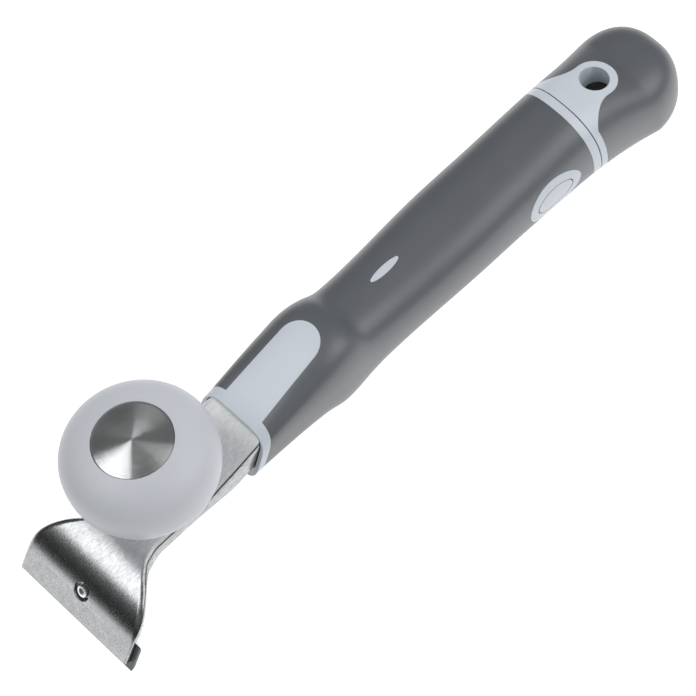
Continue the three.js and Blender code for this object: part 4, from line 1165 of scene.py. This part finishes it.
def latch_channel():
    """The channel for the leaf spring in the spigot's side."""
    half = LEAF_HEIGHT / 2 + FIT
    floor_y = LEAF_FACE_Y + LEAF_THICKNESS + CHANNEL_ROOM
    rear = SEAM_X - LEAF_REAR + FIT
    run = block("channel", spot(SPIGOT_X - FIT, -FAR, -half), spot(rear, floor_y, half))
    foot_x = rear - LEAF_THICKNESS - 2 * FIT
    foot = block("channel_foot", spot(foot_x, -FAR, -half), spot(rear, floor_y + LEAF_FOOT, half))
    return combine(run, "UNION", foot)


LINED_DIAMETER = HANG_HOLE_DIAMETER + 2 * LINING


def make_cap_base(outer, hole):
    windows = combine(tab_prism(0), "UNION", eyelet_bar("eyelet", EYELET_DIAMETER))
    shown = combine(copy_of(outer, "cap_shown"), "INTERSECT", windows)
    band = trim(copy_of(outer, "cap_band"), spot(CAP_X + CAP_BAND), (-1, 0, 0))
    base = cap_body("cap_base", CAP_SKIN)
    spigot = rounded_bar("spigot", SPIGOT_X, CAP_X + FIT, FIT)
    combine(base, "UNION", spigot, shown, band)
    room = eyelet_bar("lining_room", LINED_DIAMETER + 2 * FLUSH, LINING_TOP_Z + FLUSH)
    combine(base, "DIFFERENCE", hole_flare(), latch_channel(), room)
    combine(base, "DIFFERENCE", hole, keep=True)
    dress(base, "cap", "core_plastic", core_plastic, "cap_core")


def make_cap_skin(outer, hole):
    skin = trim(copy_of(outer, "cap_skin"), spot(CAP_X + CAP_BAND + FLUSH), (1, 0, 0))
    inside = cap_body("cap_inside", CAP_SKIN - FLUSH)
    collar = eyelet_bar("eyelet", EYELET_DIAMETER + 2 * FLUSH)
    combine(skin, "DIFFERENCE", inside, tab_prism(FLUSH), collar)
    lining = combine(eyelet_bar("lining", LINED_DIAMETER, LINING_TOP_Z), "INTERSECT", outer, keep=True)
    combine(combine(skin, "UNION", lining), "DIFFERENCE", hole)
    dress(skin, "cap", "grip_rubber", grip_rubber, "cap_grip")
    # The lining inside the hang hole gets the painted shade: faces within its reach take the near-black
    # rubber
    skin.data.materials.append(hole_painted_shade)
    centre, reach = spot(EYELET_X).xy, (LINED_DIAMETER / 2 + FLUSH) * MM
    for face in skin.data.polygons:
        if (face.center.xy - centre).length < reach:
            face.material_index = 1


def make_cap():
    outer = cap_body("cap_outer", 0)
    hole = eyelet_bar("hole", HANG_HOLE_DIAMETER)
    make_cap_base(outer, hole)
    make_cap_skin(outer, hole)
    bpy.data.objects.remove(outer)


def make_small_pieces():
    """Pieces that keep the solids' shapes, most of them with softened edges."""
    # Each piece: node, name, body, slot, finish, and how wide its edges are broken
    pieces = (
        ("clamp_plate", "lower_jaw", "clamp_plate", "zinc_steel", zinc_steel, 0.3),
        ("latch_spring", "leaf_spring", "cap", "spring_steel", spring_steel, 0.04),
        ("blade_tray", "spare_tray", "cap", "core_plastic", core_plastic, 0.25),
        ("spare_blade_1", "spare_edge_1", "cap", "blade_steel", blade_steel, 0.04),
        ("spare_blade_2", "spare_edge_2", "cap", "blade_steel", blade_steel, 0.04),
    )
    for node, name, body, slot, material, width in pieces:
        dress(softened(node, name, width), body, slot, material, node)
    finishes = {"knob_insert": brass, "tang_pin_front": zinc_steel, "tang_pin_rear": zinc_steel}
    for node, material in finishes.items():
        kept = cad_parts[node]
        kept.data.materials.clear()
        kept.data.materials.append(material)


make_shank()
make_blade()
make_screw()
make_knob()
make_disc()
make_bolt()
make_washer()
make_handle()
make_cap()
make_small_pieces()


# Stage: floor, surroundings, lights and camera, with lengths in metres

FLOOR_SIZE = 6
FLOOR_COLOUR = (0.4, 0.4, 0.4, 1)
FLOOR_ROUGHNESS = 0.9
FLOOR_GLOW = (0.5, 0.86)  # towards the tool and towards the camera
POOL = (0.15, 0.7)  # radii between which the floor fades out in the steel
POOL_GLOW = 1.3
SKY_RISE = (0.2, 0.95)  # heights of a direction between which the steel sees more light
SKY_GLOW = (0.01, 0.22)
FILL = (0.31, 0.92)  # light from all round on matt surfaces, from the blade's end to the cap's
WHITE = (1, 1, 1, 1)
LIGHT_TARGET = (0, 0, 0.02)
# Each light: name, place, size and watts
LIGHTS = (
    ("key", (-0.5, 0.38, 1.12), (0.62, 0.72), 4.6),
    ("side", (0.5, -0.66, 0.83), (0.8, 0.8), 4.2),
)
CAMERA_PLACE = (-0.28929, -0.51321, 1.09699)
CAMERA_RIGHT = (0.71526308, -0.68477127, -0.13959596)
CAMERA_UP = (0.66128466, 0.59855842, 0.45213982)
CAMERA_BACK = (-0.22605602, -0.41571159, 0.88095548)
CAMERA_LENS = 206.9
CAMERA_SENSOR = 36
CAMERA_REACH = 20


def make_floor():
    bpy.ops.object.select_all(action="DESELECT")
    bpy.ops.mesh.primitive_plane_add(size=FLOOR_SIZE)
    floor = bpy.context.object
    floor.name = "floor"
    material, tree, shader = new_material("pale_floor")
    path = add_node(tree, "ShaderNodeLightPath")
    away = length_of(tree, add_node(tree, "ShaderNodeTexCoord").outputs["Object"])
    pool = eased(tree, away, *POOL, POOL_GLOW, 0.0)
    shown = in_range(tree, path.outputs["Is Camera Ray"], *FLOOR_GLOW)
    glow = add_node(tree, "ShaderNodeMix")
    feed(tree, glow, Factor=path.outputs["Is Glossy Ray"], A=shown, B=pool)
    feed(tree, shader, Base_Color=FLOOR_COLOUR, Roughness=FLOOR_ROUGHNESS, Specular_IOR_Level=0.0)
    feed(tree, shader, Emission_Color=WHITE, Emission_Strength=glow.outputs["Result"])
    floor.data.materials.append(material)


def make_world():
    world = bpy.data.worlds.new("studio")
    world.use_nodes = True
    bpy.context.scene.world = world
    tree = world.node_tree
    sky = tree.nodes["Background"]
    direction = add_node(tree, "ShaderNodeTexCoord").outputs["Generated"]
    axes = feed(tree, add_node(tree, "ShaderNodeSeparateXYZ"), Vector=direction)
    rise = eased(tree, axes.outputs["Z"], *SKY_RISE, *SKY_GLOW)
    along = add_node(tree, "ShaderNodeMapRange")
    feed(tree, along, Value=axes.outputs["X"], From_Min=-1.0, From_Max=1.0, To_Min=FILL[0], To_Max=FILL[1])
    path = add_node(tree, "ShaderNodeLightPath").outputs
    around = add_node(tree, "ShaderNodeMix")
    feed(tree, around, Factor=path["Is Glossy Ray"], A=along.outputs["Result"], B=rise)
    seen = number_math(tree, "MAXIMUM", path["Is Camera Ray"], path["Is Transmission Ray"])
    level = add_node(tree, "ShaderNodeMix")
    feed(tree, level, Factor=seen, A=around.outputs["Result"], B=1.0)
    feed(tree, sky, Color=WHITE, Strength=level.outputs["Result"])


def add_light(name, place, size, watts):
    bpy.ops.object.select_all(action="DESELECT")
    bpy.ops.object.light_add(type="AREA", location=place)
    light = bpy.context.object
    light.name = name
    light.data.shape = "RECTANGLE"
    light.data.size, light.data.size_y = size
    light.data.energy = watts
    light.rotation_euler = (Vector(LIGHT_TARGET) - Vector(place)).to_track_quat("-Z", "Y").to_euler()


def make_camera():
    bpy.ops.object.camera_add(location=CAMERA_PLACE)
    camera = bpy.context.object
    camera.name = "photo_camera"
    turn = Matrix((CAMERA_RIGHT, CAMERA_UP, CAMERA_BACK)).transposed()
    camera.rotation_euler = turn.to_euler()
    camera.data.sensor_width = CAMERA_SENSOR
    camera.data.lens = CAMERA_LENS
    camera.data.clip_end = CAMERA_REACH
    bpy.context.scene.camera = camera


make_floor()
make_world()
for light in LIGHTS:
    add_light(*light)
make_camera()
bpy.context.scene.view_settings.view_transform = "Standard"
